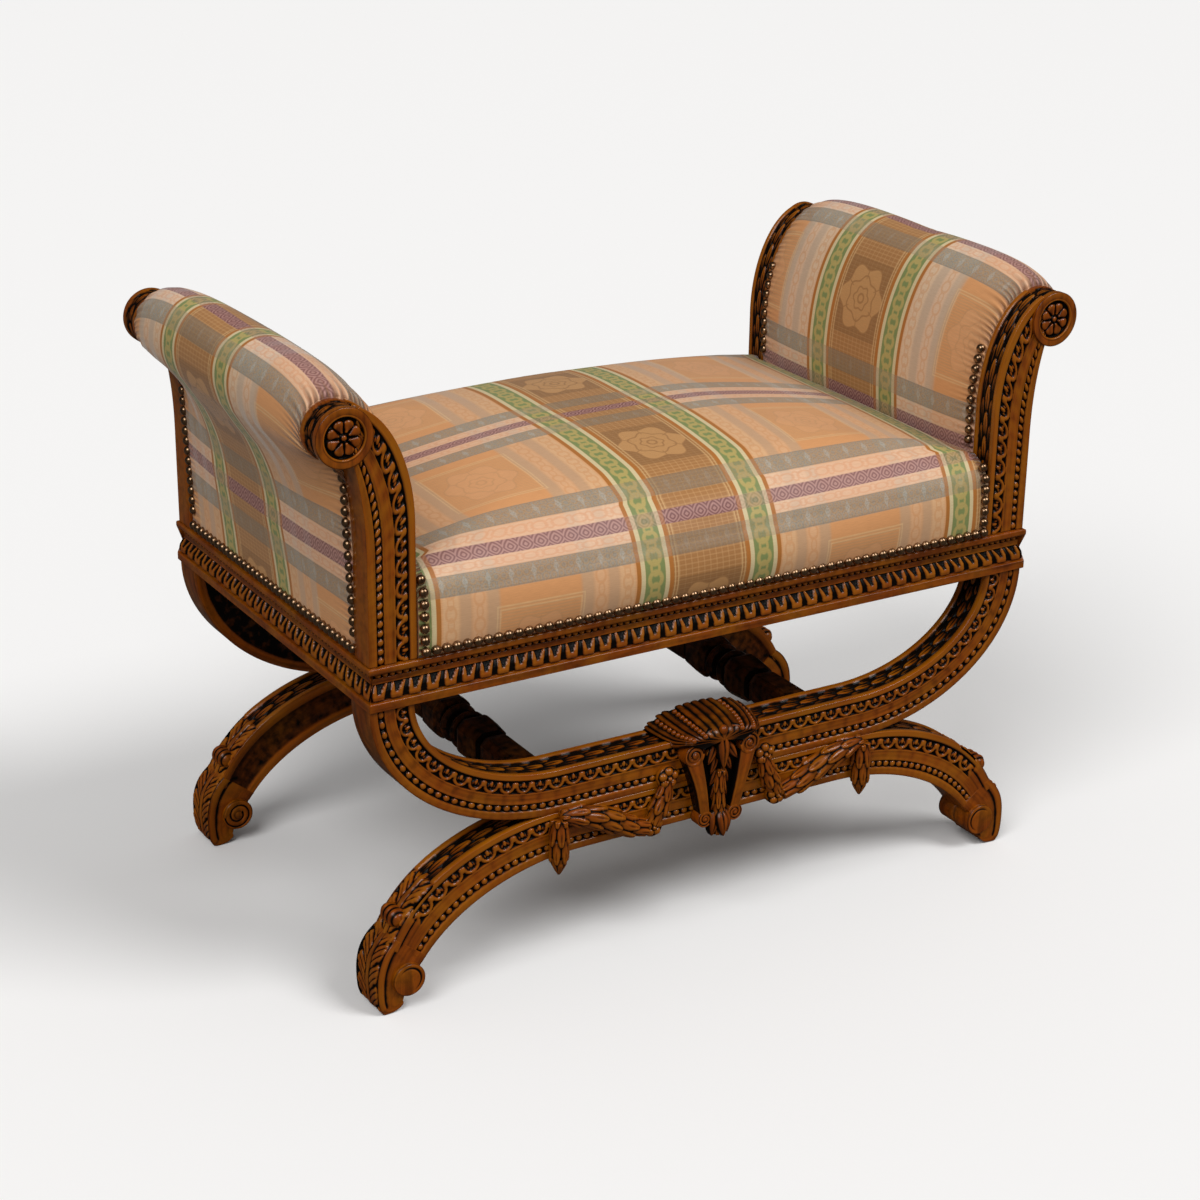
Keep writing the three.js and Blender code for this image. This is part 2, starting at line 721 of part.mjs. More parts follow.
// The flat rail that the arm's cover is tacked to, with stub tenons.
function tackRail(gap) {
  const middle = [tackRailX + tackRailWidth / 2, 0, tackRailFoot + tackRailHeight / 2];
  const half = [tackRailWidth / 2 + gap, postBack - jointGap + gap, tackRailHeight / 2 + gap];
  const stub = [tackRailWidth * 0.15 + gap, postBack + tenonThick / 2 + gap, neckHalf + gap];
  return blockAt(middle, half).add(blockAt(middle, stub));
}

// The outline of an arm's upholstery at a place along the arm: up the inner side, over the crest, round the
// roll and down the outer side. The fullness is 1 in the middle of the arm and less beside the posts.
function armOutline(fullness) {
  const swell = armBulge * fullness;
  const crest = scrollRadius + crestBulge * fullness;
  const roll = scrollRadius + rollBulge * fullness;
  const inner = postInner - swell * 0.9;
  const foot = railTop + jointGap;
  const points = [[postInner - swell * 0.23, foot], [inner, curveFoot]];
  const overSteps = curveSteps * 0.7;
  for (let k = 1; k <= overSteps; k++) {
    const turn = (k / overSteps) * (Math.PI / 2);
    const x = scrollX - (scrollX - inner) * Math.cos(turn);
    points.push([x, curveFoot + (scrollHeight + crest - curveFoot) * Math.sin(turn)]);
  }
  const rollSteps = curveSteps * 0.9;
  for (let k = 1; k <= rollSteps; k++) {
    const turn = Math.PI / 2 - (k / rollSteps) * Math.PI * 1.2;
    const tall = turn > 0 ? crest : roll;
    points.push([scrollX + roll * Math.cos(turn), scrollHeight + tall * Math.sin(turn)]);
  }
  const side = postOuter - armCover;
  const underRoll = scrollHeight - scrollRadius - foot;
  points.push([side + swell / 2, foot + underRoll * 0.724], [side, foot + underRoll * 0.325], [side, foot]);
  return points;
}

// The stuffed cover of an arm, hollow behind its outer panel, and drawn in beside the posts.
function armPad() {
  const reach = postBack - jointGap;
  const rings = armRingShares.map((share) => {
    const fullness = Math.sqrt(1 - share ** 4);
    return armOutline(fullness).map(([x, z]) => [x, share * reach, z]);
  });
  const past = reach + overrun;
  const hollow = block([hollowInner, -past, 0], [hollowOuter, past, hollowTop]);
  const below = block([0, -past, 0], [hollowInner + overrun, past, armPadFoot]);
  const bore = disc(scrollX, scrollHeight, topRailRadius + softGap, -past, past, discSteps / 2);
  return loft(rings).subtract(joined([hollow, below, bore]));
}

// One section of the seat cushion, front to back: up the face, round the shoulder, over the crown and down.
function seatOutline(x) {
  const across = 1 - Math.abs(x / seatHalf) ** 2.4;
  const foot = railTop + jointGap;
  const edge = seatEdgeHeight + (seatCrown / 4) * across;
  const points = [[-frameFace, foot], [-frameFace - seatFrontBulge * Math.sqrt(across), (foot * 3 + edge * 2) / 5]];
  const shoulder = Math.min(seatEdgeRadius, (edge - foot) * 0.5);
  const shoulderSteps = 4;
  for (let k = 0; k <= shoulderSteps; k++) {
    const turn = (k / shoulderSteps) * (Math.PI / 2);
    const y = frameFace - shoulder * (1 - Math.cos(turn));
    points.push([-y, edge - shoulder * (1 - Math.sin(turn))]);
  }
  for (const share of seatCrownShares) {
    const crown = seatCrown * (0.05 + 0.7 * across) * (1 - Math.abs(share) ** 2.2);
    points.push([share * frameFace, edge + crown]);
  }
  const rear = points.slice().reverse();
  return [...points, ...rear.map(([y, z]) => [-y, z])];
}

// The seat cushion: crowned, rounded over the front and rear, filled out between the posts at its corners,
// and hollow under the middle for the webbing.
function seatCushion() {
  const rings = seatRingShares.map((share) => {
    const x = share * seatHalf;
    return seatOutline(x).map(([y, z]) => [x, y, z]);
  });
  const cornerTop = seatEdgeHeight - Math.min(seatEdgeRadius, (seatEdgeHeight - railTop) * 0.5) * 0.6;
  const corners = [-1, 1].map((sign) => {
    const x = sign * (seatHalf + (armBulge - overrun) / 2);
    const half = [(armBulge + overrun) / 2, (frameFace - postBack - seatSideGap) / 2, 0];
    half[2] = (cornerTop - railTop - jointGap) / 2;
    const y = (frameFace + postBack + seatSideGap) / 2;
    const z = (cornerTop + railTop + jointGap) / 2;
    return blockAt([x, -y, z], half).add(blockAt([x, y, z], half));
  });
  const lift = railTop + webThick + hessianThick + jointGap * 3;
  const reach = frameFace - railThick + webOverlap + jointGap * 2;
  const hollow = block([-halfLength, -reach, 0], [halfLength, reach, lift]);
  return joined([loft(rings), ...corners]).subtract(hollow);
}

// Webbing: straps along and across the open seat frame, tacked to the rails and crossing in one flat net.
function webbing() {
  const x = halfLength - railThick + webOverlap;
  const y = frameFace - railThick + webOverlap;
  const straps = [];
  for (let k = 0; k < webAcross; k++) {
    const at = ((k + 0.5) / webAcross - 0.5) * (postInner * 2 - webWidth);
    straps.push(blockAt([at, 0, 0], [webWidth / 2, y, webThick / 2]));
  }
  for (let k = 0; k < webAlong; k++) {
    const at = ((k + 0.5) / webAlong - 0.5) * (postBack * 2 - webWidth / 2);
    straps.push(blockAt([0, at, 0], [x, webWidth / 2, webThick / 2]));
  }
  return joined(straps);
}

// Hessian over the webbing, which carries the stuffing.
function hessian() {
  return blockAt([0, 0, 0], [seatHalf, frameFace - railThick + webOverlap, hessianThick / 2]);
}

function addFrame(end) {
  const turned = end === "rear";
  const group = halfTurned(turned);
  const pair = (kind, solid, look) => {
    const sides = turned ? ["left", "right"] : ["right", "left"];
    addNode(group, `${end}_${sides[0]}_${kind}`, solid, look);
    addNode(group, `${end}_${sides[1]}_${kind}`, mirrored(solid), look);
  };
  addNode(group, `${end}_rail`, longRail(), walnut);
  pair("corner_block", cornerBlock(), beech);
  pair("post", post(), walnut);
  pair("cradle", cradle(), walnut);
  pair("leg", leg(), walnut);
  pair("swag", swag(), walnut);
  addNode(group, `${end}_boss`, boss(), walnut);
  addNode(group, `${end}_cradle_spline`, splineBlock(cradleTop - memberWidth / 2, 0), beech);
  addNode(group, `${end}_leg_spline`, splineBlock(meetHeight - memberWidth / 2, 0), beech);
}

function addEnd(side) {
  const group = halfTurned(side === "left");
  addNode(group, `${side}_rail`, endRail(), walnut);
  addNode(group, `${side}_stretcher`, stretcher(), walnut, [stretcherSetOut, 0, meetHeight]);
  addNode(group, `${side}_arm_top_rail`, topRail(0), beech);
  addNode(group, `${side}_arm_tack_rail`, tackRail(0), beech);
  addNode(group, `${side}_arm_pad`, armPad(), damask);
}

for (const end of ["front", "rear"]) addFrame(end);
for (const side of ["right", "left"]) addEnd(side);

const webMiddle = railTop + jointGap + webThick / 2;
const hessianMiddle = webMiddle + (webThick + hessianThick) / 2 + jointGap;
addNode(bench, "seat_webbing", webbing(), jute, [0, 0, webMiddle]);
addNode(bench, "seat_hessian", hessian(), jute, [0, 0, hessianMiddle]);
addNode(bench, "seat_cushion", seatCushion(), damask);

export default bench;
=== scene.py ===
"""Looks of a carved walnut window bench on two X frames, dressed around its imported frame.

Shapes are worked out in millimetres, in the row frame: +X to the right, -Y to the front, +Z up.
"""

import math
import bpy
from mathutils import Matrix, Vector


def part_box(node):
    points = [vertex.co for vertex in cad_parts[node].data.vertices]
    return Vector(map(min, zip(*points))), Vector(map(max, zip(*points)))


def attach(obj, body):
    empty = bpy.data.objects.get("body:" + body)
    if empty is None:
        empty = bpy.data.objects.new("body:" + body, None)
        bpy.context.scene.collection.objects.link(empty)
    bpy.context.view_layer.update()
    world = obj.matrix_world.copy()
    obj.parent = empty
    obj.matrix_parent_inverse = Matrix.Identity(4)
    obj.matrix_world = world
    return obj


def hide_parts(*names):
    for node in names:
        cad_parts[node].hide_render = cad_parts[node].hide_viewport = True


bl_info = {
    "name": "Carved Window Bench",
    "version": (1, 0, 0),
    "blender": (4, 5, 0),
    "location": "3D View > Sidebar > Bench",
    "description": "Dresses the frame of a window bench in carved walnut, damask and brass nails",
    "category": "Object",
}

import bpy
import numpy as np
from mathutils import Matrix, Vector

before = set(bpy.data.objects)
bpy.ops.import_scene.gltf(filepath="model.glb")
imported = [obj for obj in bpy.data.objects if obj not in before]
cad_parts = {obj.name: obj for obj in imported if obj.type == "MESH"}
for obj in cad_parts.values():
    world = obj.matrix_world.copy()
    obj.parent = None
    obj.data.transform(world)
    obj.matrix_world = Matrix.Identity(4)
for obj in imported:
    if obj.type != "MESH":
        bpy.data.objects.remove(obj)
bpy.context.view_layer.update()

MM = 0.001


def node_box(name):
    """The lowest and highest corner of a node of the frame, in millimetres."""
    low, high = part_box(name)
    return np.array(low) / MM, np.array(high) / MM


# Places that the frame gives
rail_low, rail_high = node_box("front_rail")
side_low, side_high = node_box("right_rail")
cradle_low, cradle_high = node_box("front_right_cradle")
post_low, post_high = node_box("front_right_post")
boss_low, boss_high = node_box("front_boss")
seat_low, seat_high = node_box("seat_cushion")
_, pad_high = node_box("right_arm_pad")
stretcher_low, stretcher_high = node_box("right_stretcher")

RAIL_BOTTOM, RAIL_TOP = rail_low[2], rail_high[2]
HALF_LENGTH, HALF_DEPTH = rail_high[0], -rail_low[1]
RAIL_THICK = rail_high[1] - rail_low[1]
FRAME_FACE, FRAME_BACK = -cradle_low[1], -cradle_high[1]
FRAME_THICK = FRAME_FACE - FRAME_BACK
MEET = cradle_low[2]
POST_INNER, POST_BACK = post_low[0], -post_high[1]
POST_THICK = FRAME_FACE - POST_BACK

# The curved members of the X frames
MEMBER_WIDTH = 52.0
# Painted shade of the seat over the cradles: stain added all over them
CRADLE_PAINTED_SHADE = 0.14
CRADLE_TOP = MEET + MEMBER_WIDTH
CRADLE_FLAT = 200.0
CRADLE_REACH = 204.0
CRADLE_DROP = RAIL_BOTTOM - MEET - MEMBER_WIDTH / 2
LEG_FLAT = 169.0
LEG_REACH = 228.0
LEG_RISE = 160.3
LEG_SINK = 20.0
HIP_WIDTH = 50.0
KNEE_WIDTH = 58.0
KNEE_SHARE = 0.62
ANKLE_WIDTH = 46.5
ANKLE_ANGLE = math.radians(63.8)
SHIN_LENGTH = 78.0
KNEE_CURL_RADIUS = 10.5
VOLUTE_SET_OUT = 18.5
VOLUTE_HEIGHT = 37.5
VOLUTE_RADIUS = 19.0
VOLUTE_PROUD = 7.0
FOOT_PROUD = 2.0
TOE_SET_OUT = 57.0
TOE_HEIGHT = 36.0
PAD_SET_OUT = 25.0
PAD_LENGTH = 21.0

# The arm posts and their scrolls
POST_OUTER = POST_INNER + 55.5
SCROLL_RADIUS = 32.0
SCROLL_PROUD = 3.0
SCROLL_X = post_high[0] - SCROLL_RADIUS
SCROLL_Z = post_high[2] - SCROLL_RADIUS
POST_CURVE_RISE = 136.0
POST_CURVE_LENGTH = 190.0
CURVE_FOOT = SCROLL_Z + SCROLL_RADIUS - POST_CURVE_RISE
FLARE_START = 522.3
FLARE_REACH = 13.5
POST_END_SHARE = 0.86

# Stretchers
STRETCHER_X = (stretcher_low[0] + stretcher_high[0]) / 2

# Boss and swags
BOSS_TOP_HALF = 46.0
BOSS_FOOT_HALF = 25.0
BOSS_PROUD = 8.0
BOSS_FOOT = boss_low[2]
STRAP_THICK = 8.0
CURL_RADIUS = 13.0
BALL_RADIUS = 10.0
CAP_TOP = boss_high[2]
CAP_FRONT_HALF = 46.0
CAP_BACK_HALF = 68.0
CAP_PROUD = 20.0
CAP_DROP = 16.0
CAP_LIP = 2.0
CAP_REEDS = 19
PEARL_LANES = (3, 6, 12, 15)
BEHIND = -FRAME_FACE - 0.4
ROPE_STEP = 1.0
SWAG_LIFT = 4.0
TAIL_X = 205.0

# The soft parts
GROUP_PITCH = 238.0
SEAT_FOOT = seat_low[2]
SEAT_EDGE = 510.0
SEAT_SHOULDER = 38.0
SEAT_CROWN = 45.0
SEAT_HALF = seat_high[0]
SEAT_BETWEEN_ARMS = 363.0
PAD_FOOT = 470.0
PAD_REACH = pad_high[1]
ARM_BULGE = 10.0
CREST_BULGE = 25.0
ROLL_BULGE = 7.0
ARM_COVER = 4.0
TOP_RAIL_ROOM = 21.0
TACK_ROOM_TOP = 549.0
TACK_ROOM_INNER = 384.5
SEAT_END_ROUND = 12.0
PANEL_TOP = 620.0
ARM_COUNTS = (12, 46, 46, 46)

# The leaves and the darts of the rails
OGEE_FOOT = 373.4
OGEE_TOP = 389.6
DART_HEIGHT = 399.3

# How far the cloth of the two arms and of the seat is shifted under the shears
ARM_CUTS = (("right", False, -13.5), ("left", True, -32.5))
ARM_CUT_FOOT = 195.0
SEAT_CUT_FOOT = 417.0

# Where the bands of the moulded face lie, as shares of the member's width from its outer edge
BEAD_SHARES = (0.165, 0.335)
FASCIA_SHARES = (0.35, 0.545)
LEAF_SHARES = (0.56, 0.875)
EDGE_SHARES = (0.16, 0.84)
EASE = 0.5


class Surface:
    """A surface in millimetres: points, four-sided and three-sided faces, a place on the material for each
    corner in metres, and for each point how much dark stain has settled there."""

    def __init__(self, points, quads, quad_places, tris=None, tri_places=None, stain=None):
        self.points = np.asarray(points, float)
        self.quads = np.asarray(quads, np.int64).reshape(-1, 4)
        self.quad_places = np.asarray(quad_places, float).reshape(-1, 4, 2)
        self.tris = np.zeros((0, 3), np.int64) if tris is None else tris
        self.tri_places = np.zeros((0, 3, 2)) if tri_places is None else tri_places
        self.stain = np.zeros(len(self.points)) if stain is None else stain

    def flipped(self):
        """The same surface with each face turned round."""
        return Surface(
            self.points, self.quads[:, ::-1], self.quad_places[:, ::-1],
            self.tris[:, ::-1], self.tri_places[:, ::-1], self.stain,
        )

    def outward(self):
        """The surface with its faces outwards: its volume, a sum of triple products, is made positive."""
        a, b, c, d = (self.points[self.quads[:, k]] for k in range(4))
        volume = np.einsum("ij,ij->", a, np.cross(b, c)) + np.einsum("ij,ij->", a, np.cross(c, d))
        if len(self.tris):
            a, b, c = (self.points[self.tris[:, k]] for k in range(3))
            volume += np.einsum("ij,ij->", a, np.cross(b, c))
        return self if volume > 0 else self.flipped()

    def moved(self, points):
        """The same faces on other points."""
        return Surface(points, self.quads, self.quad_places, self.tris, self.tri_places, self.stain)

    def mirrored(self):
        """The mirror image about the middle of the bench, X turned to -X."""
        return self.flipped().moved(self.points * [-1, 1, 1])

    def half_turned(self):
        """The surface turned half a turn about the middle of the bench."""
        return self.moved(self.points * [-1, -1, 1])


def joined(surfaces):
    """One surface from several, each keeping its own closed shell."""
    starts = np.cumsum([0] + [len(s.points) for s in surfaces[:-1]])
    return Surface(
        np.concatenate([s.points for s in surfaces]),
        np.concatenate([s.quads + k for s, k in zip(surfaces, starts)]),
        np.concatenate([s.quad_places for s in surfaces]),
        np.concatenate([s.tris + k for s, k in zip(surfaces, starts)]),
        np.concatenate([s.tri_places for s in surfaces]),
        np.concatenate([s.stain for s in surfaces]),
    )


def way_along(points):
    """How far along its line each point lies, in the points' own unit."""
    steps = np.linalg.norm(np.diff(points, axis=-2), axis=-1)
    return np.cumsum(np.insert(steps, 0, 0, axis=-1), axis=-1)


def spread_along(path, ways):
    """The points of a path that lie given ways along it."""
    return np.stack([np.interp(ways, way_along(path), values) for values in path.T], 1)


def wall(rows, cols):
    """The four-sided faces of a grid of points whose columns close round."""
    row, col = np.meshgrid(np.arange(rows - 1), np.arange(cols), indexing="ij")
    first, after = row * cols + col, row * cols + (col + 1) % cols
    return np.stack([first, after, after + cols, first + cols], -1).reshape(-1, 4)


def corners_of(places):
    """The places of each face's four corners, from a grid of places."""
    return np.stack([places[:-1, :-1], places[:-1, 1:], places[1:, 1:], places[1:, :-1]], 2).reshape(-1, 4, 2)


def tube(points, places=None, stain=None):
    """A grid of points [row, column] whose columns close round into a tube, with a fan over each end."""
    rows, cols = points.shape[:2]
    if places is None:
        places = places_of(points)
    ends = np.stack([points[0].mean(0), points[-1].mean(0)])
    ring = np.arange(cols)
    after = (ring + 1) % cols
    last = (rows - 1) * cols
    first_fan = np.stack([np.full(cols, rows * cols), after, ring], -1)
    last_fan = np.stack([np.full(cols, rows * cols + 1), last + ring, last + after], -1)
    fan_places = np.zeros((2 * cols, 3, 2))
    fan_places[:cols] = places[0, :1]
    fan_places[cols:] = places[-1, :1]
    stain = np.zeros(rows * cols) if stain is None else stain.ravel()
    return Surface(
        np.concatenate([points.reshape(-1, 3), ends]), wall(rows, cols), corners_of(places),
        np.concatenate([first_fan, last_fan]), fan_places, np.concatenate([stain, [0, 0]]),
    ).outward()


def places_of(points):
    """Places in metres that follow a tube: how far round it, and how far along it."""
    wrapped = np.concatenate([points, points[:, :1]], 1)
    around = np.linalg.norm(np.diff(wrapped, axis=1), axis=2).mean(0)
    along = np.linalg.norm(np.diff(wrapped, axis=0), axis=2).mean(1)
    u, v = (np.cumsum(np.insert(steps, 0, 0)) for steps in (around, along))
    return np.stack(np.meshgrid(u, v), -1) * MM


def put(name, surface, material, crease=None):
    """Makes a Blender object from a surface, with smooth faces, its places as a UV map and its stain."""
    mesh = bpy.data.meshes.new(name)
    mesh.vertices.add(len(surface.points))
    mesh.vertices.foreach_set("co", (surface.points * MM).astype(np.float32).ravel())
    corners = np.concatenate([surface.quads.ravel(), surface.tris.ravel()]).astype(np.int32)
    totals = np.repeat([4, 3], [len(surface.quads), len(surface.tris)]).astype(np.int32)
    mesh.loops.add(len(corners))
    mesh.loops.foreach_set("vertex_index", corners)
    mesh.polygons.add(len(totals))
    mesh.polygons.foreach_set("loop_start", (np.cumsum(totals) - totals).astype(np.int32))
    mesh.polygons.foreach_set("loop_total", totals)
    layer = mesh.uv_layers.new(name="place")
    places = np.concatenate([surface.quad_places.reshape(-1, 2), surface.tri_places.reshape(-1, 2)])
    mesh.update(calc_edges=True)
    layer.data.foreach_set("uv", places.astype(np.float32).ravel())
    stain = mesh.attributes.new("stain", "FLOAT", "POINT")
    stain.data.foreach_set("value", surface.stain.astype(np.float32))
    mesh.shade_smooth()
    if crease is not None:
        mesh.set_sharp_from_angle(angle=math.radians(crease))
    mesh.materials.append(bpy.data.materials[material])
    piece = bpy.data.objects.new(name, mesh)
    bpy.context.scene.collection.objects.link(piece)
    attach(piece, "root")
    return piece


def put_wood(node, surface, crease=None):
    """A walnut piece that stands for one node of the frame."""
    piece = put(node + "_carved", surface, "carved_walnut", crease)
    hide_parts(node)


def put_around(kind, surface):
    """The four copies of a piece of the front right quarter: mirrored to the left, and turned to the rear."""
    mirror = surface.mirrored()
    put_wood("front_right_" + kind, surface)
    put_wood("front_left_" + kind, mirror)
    put_wood("rear_left_" + kind, surface.half_turned())
    put_wood("rear_right_" + kind, mirror.half_turned())


# Carving. Each pattern gives a height from 0, the ground, to 1, the top, from places in millimetres.


def circle(count):
    """Angles at an even pitch once round."""
    return np.arange(count) / count * 2 * np.pi


def smooth(low, high, x):
    """0 below low, 1 above high, and between them 3 t squared less 2 t cubed."""
    t = np.clip((x - low) / (high - low), 0, 1)
    return t * t * (3 - 2 * t)


def dome(r):
    """Half a ball: the root of 1 less r squared."""
    return np.sqrt(np.clip(1 - r * r, 0, 1))


def repeats(along, length, pitch):
    """Where each place lies in its repeat, in millimetres from the repeat's middle, for a whole number of
    repeats on the length, and how long one repeat is."""
    count = max(1, round(length / pitch))
    step = length / count
    return (along / step % 1 - 0.5) * step, step


def bead_row(x, y, pitch, half):
    """A row of beads: half balls, a little longer than wide, with dark ground between them."""
    return dome(np.hypot(x / (0.43 * pitch), y / (0.92 * half)))


def scallop_row(x, y, pitch, width):
    """A running scallop: a crescent that opens to the inner side, rounded tabs that join each crescent to the
    next, and in each a flower of three drops."""
    ring = np.hypot(x / (0.38 * pitch), (y - 0.04 * width) / (0.4 * width))
    rim = dome((ring - 1) / 0.34) * (1 - smooth(0.02 * width, 0.16 * width, y))
    gap = 0.5 * pitch - np.abs(x)
    past_tab = np.maximum(0, np.abs(y - 0.14 * width) - 0.1 * width)
    tab = dome(np.hypot(gap / (0.23 * pitch), past_tab / (0.14 * width)))
    drop = dome(np.hypot(x / (0.12 * pitch), (y - 0.14 * width) / (0.27 * width)))
    beside = dome(np.hypot((np.abs(x) - 0.17 * pitch) / (0.085 * pitch), (y - 0.02 * width) / (0.18 * width)))
    return np.maximum.reduce([0.95 * rim, tab, 0.9 * drop, 0.72 * beside])


def laurel_row(x, y, pitch, half):
    """A band of laurel: long leaves that overlap the next, each with a midrib, and between them side leaves
    half a leaf further on."""
    middle = leaf(x / pitch + 0.5, y / half, 0.44)
    sides = leaf((x / pitch + 1.0) % 1, np.abs(y) / half - 0.62, 0.33)
    return np.maximum(middle, 0.8 * sides)


def leaf(t, y, wide):
    """One leaf from its stalk at t 0 to its tip at t 1. It swells as the sine of t to the power 0.8, rises
    towards its tip, and a midrib is cut along it."""
    t = np.clip(t, 0, 1)
    reach = wide * np.sin(np.pi * t ** 0.8) ** 0.6 + 1e-3
    body = dome(y / reach) ** 0.7
    rib = 1 - 0.3 * np.exp(-((y / 0.06) ** 2))
    return body * (0.6 + 0.4 * t) * rib


def ogee_leaves(x, rise, pitch):
    """The tulips on the rail's ogee: two petals that part from a broad foot and curve out to their points,
    a slot between them, and between two tulips a low smooth egg. Rise is 0 at the foot of the ogee and 1 at
    its top."""
    t = np.clip(rise, 0, 1)
    centre = pitch * (0.185 + 0.15 * t ** 1.6)
    half = pitch * (0.185 * np.clip(1 - t, 0, 1) ** 0.55 * (0.75 + 0.6 * t) + 0.014)
    petal = dome((np.abs(x) - centre) / half) ** 0.8 * (0.7 + 0.3 * t)
    foot = dome(np.hypot(x / (0.37 * pitch), (t - 0.16) / 0.3)) ** 0.7 * 0.85
    gap = 0.5 * pitch - np.abs(x)
    egg = 0.45 * dome(np.hypot(gap / (0.1 * pitch), (t - 0.6) / 0.4))
    return np.maximum.reduce([petal, foot, egg])


def acanthus(along, across, half):
    """An acanthus leaf on the shin: a smooth midrib, and rounded lobes that slant down and out from it, each
    with veins cut along it and a dark eye where it meets the next."""
    share = np.abs(across) / half
    slant = (along / 27 - share * (1.35 - 0.45 * share)) % 1
    bow = np.sin(np.pi * slant)
    edge = 1 - smooth(-0.05, 0.05, share - 0.7 - 0.26 * bow ** 0.6)
    lobe = 0.5 + 0.5 * bow ** 0.5
    vein = np.abs((slant * 3) % 1 - 0.5) * 2
    veins = 1 - 0.42 * smooth(0.5, 1.0, vein) * smooth(0.1, 0.3, share)
    eye = 0.7 * np.exp(-(((share - 0.6) / 0.14) ** 2 + (np.minimum(slant, 1 - slant) / 0.11) ** 2))
    rib = 0.95 * np.exp(-((across / 3.4) ** 4))
    groove = 0.35 * np.exp(-(((np.abs(across) - 4.6) / 1.1) ** 2))
    return np.clip(np.maximum(edge * lobe * veins - eye - groove, rib), 0, 1.1)


def settled(height, reach):
    """How much stain settles at each point of a grid: more the lower it lies than the mean height round it,
    and more in deep ground. Below zero, the point stands proud and its stain is rubbed off."""
    spread = height
    for axis in (0, 1):
        spread = box_mean(spread, reach, axis)
    hollow = smooth(-0.1, 0.85, spread - height)
    ground = smooth(0.8, 2.6, -height)
    proud = smooth(0.1, 1.2, height - spread)
    return np.clip(0.8 * hollow + 0.75 * ground, 0, 1) - 0.5 * proud


def box_mean(values, reach, axis):
    """The mean over a window of 2 reach + 1 points along one axis, by differences of a running sum."""
    moved = np.moveaxis(values, axis, 0)
    padded = np.concatenate([np.repeat(moved[:1], reach + 1, 0), moved, np.repeat(moved[-1:], reach, 0)])
    total = np.cumsum(padded, 0)
    return np.moveaxis((total[2 * reach + 1:] - total[: -2 * reach - 1]) / (2 * reach + 1), 0, axis)


def spaced(edges, counts):
    """Shares from the first edge to the last, with a count of steps between each two edges."""
    parts = [np.linspace(a, b, n, endpoint=False) for a, b, n in zip(edges, edges[1:], counts)]
    return np.concatenate(parts + [[edges[-1]]])


def front_heights(share, along, lengths, width):
    """The carved face of a member, in millimetres below its fillets: a bead row, a sunk fascia and a
    scallop row. Share is the place across, along the way along, and width the member's width there."""
    bead_low, bead_high = BEAD_SHARES
    leaf_low, leaf_high = LEAF_SHARES
    settings = wood_settings()
    depth = settings.carving_depth / MM
    step = 0.016
    in_beads = smooth(bead_low, bead_low + step, share) * (1 - smooth(bead_high - step, bead_high, share))
    in_fascia = smooth(FASCIA_SHARES[0] - step, FASCIA_SHARES[0], share) * (
        1 - smooth(FASCIA_SHARES[1], FASCIA_SHARES[1] + step, share)
    )
    in_leaves = smooth(leaf_low, leaf_low + step, share) * (1 - smooth(leaf_high - step, leaf_high, share))
    bead_width = (bead_high - bead_low) * width
    x, pitch = repeats(along, lengths, settings.bead_pitch / MM)
    y = (share - (bead_low + bead_high) / 2) * width
    beads = bead_row(x, y, pitch, bead_width * 0.5)
    leaf_width = (leaf_high - leaf_low) * width
    x, pitch = repeats(along, lengths, settings.leaf_pitch / MM)
    y = (share - (leaf_low + leaf_high) / 2) * width
    leaves = scallop_row(x, y, pitch, leaf_width)
    height = -in_beads * (depth * 1.1 - (depth + 0.7) * beads)
    height -= in_leaves * (depth * 1.15 - (depth + 0.45) * np.clip(leaves, 0, 1))
    return height - in_fascia * 0.7


def edge_heights(share, along, lengths, thick):
    """The carved inner edge of a member: a sunk channel with laurel in it."""
    low, high = EDGE_SHARES
    settings = wood_settings()
    depth = settings.carving_depth / MM
    inside = smooth(low, low + 0.025, share) * (1 - smooth(high - 0.025, high, share))
    x, pitch = repeats(along, lengths, settings.laurel_pitch / MM)
    y = (share - 0.5) * thick
    leaves = laurel_row(x, y, pitch, (high - low) * thick / 2)
    return -inside * (depth * 1.25 - (depth * 1.25 - 0.2) * np.clip(leaves, 0, 1))


# Columns round the section of a member: across the face, the inner edge, the back and the outer edge
FACE_COLUMNS = spaced(
    (0, 0.02, 0.165, 0.195, 0.305, 0.335, 0.36, 0.54, 0.56, 0.6, 0.84, 0.875, 0.9, 0.98, 1),
    (1, 3, 2, 7, 2, 1, 3, 1, 2, 14, 2, 1, 2, 1),
)
EDGE_COLUMNS = spaced((0, 0.02, 0.16, 0.2, 0.8, 0.84, 0.98, 1), (1, 2, 2, 24, 2, 2, 1))
BACK_COLUMNS = spaced((0, 0.02, 0.19, 0.23, 0.77, 0.81, 0.98, 1), (1, 1, 1, 3, 1, 1, 1))
PLAIN_COLUMNS = spaced((0, 0.02, 0.98, 1), (1, 3, 1))


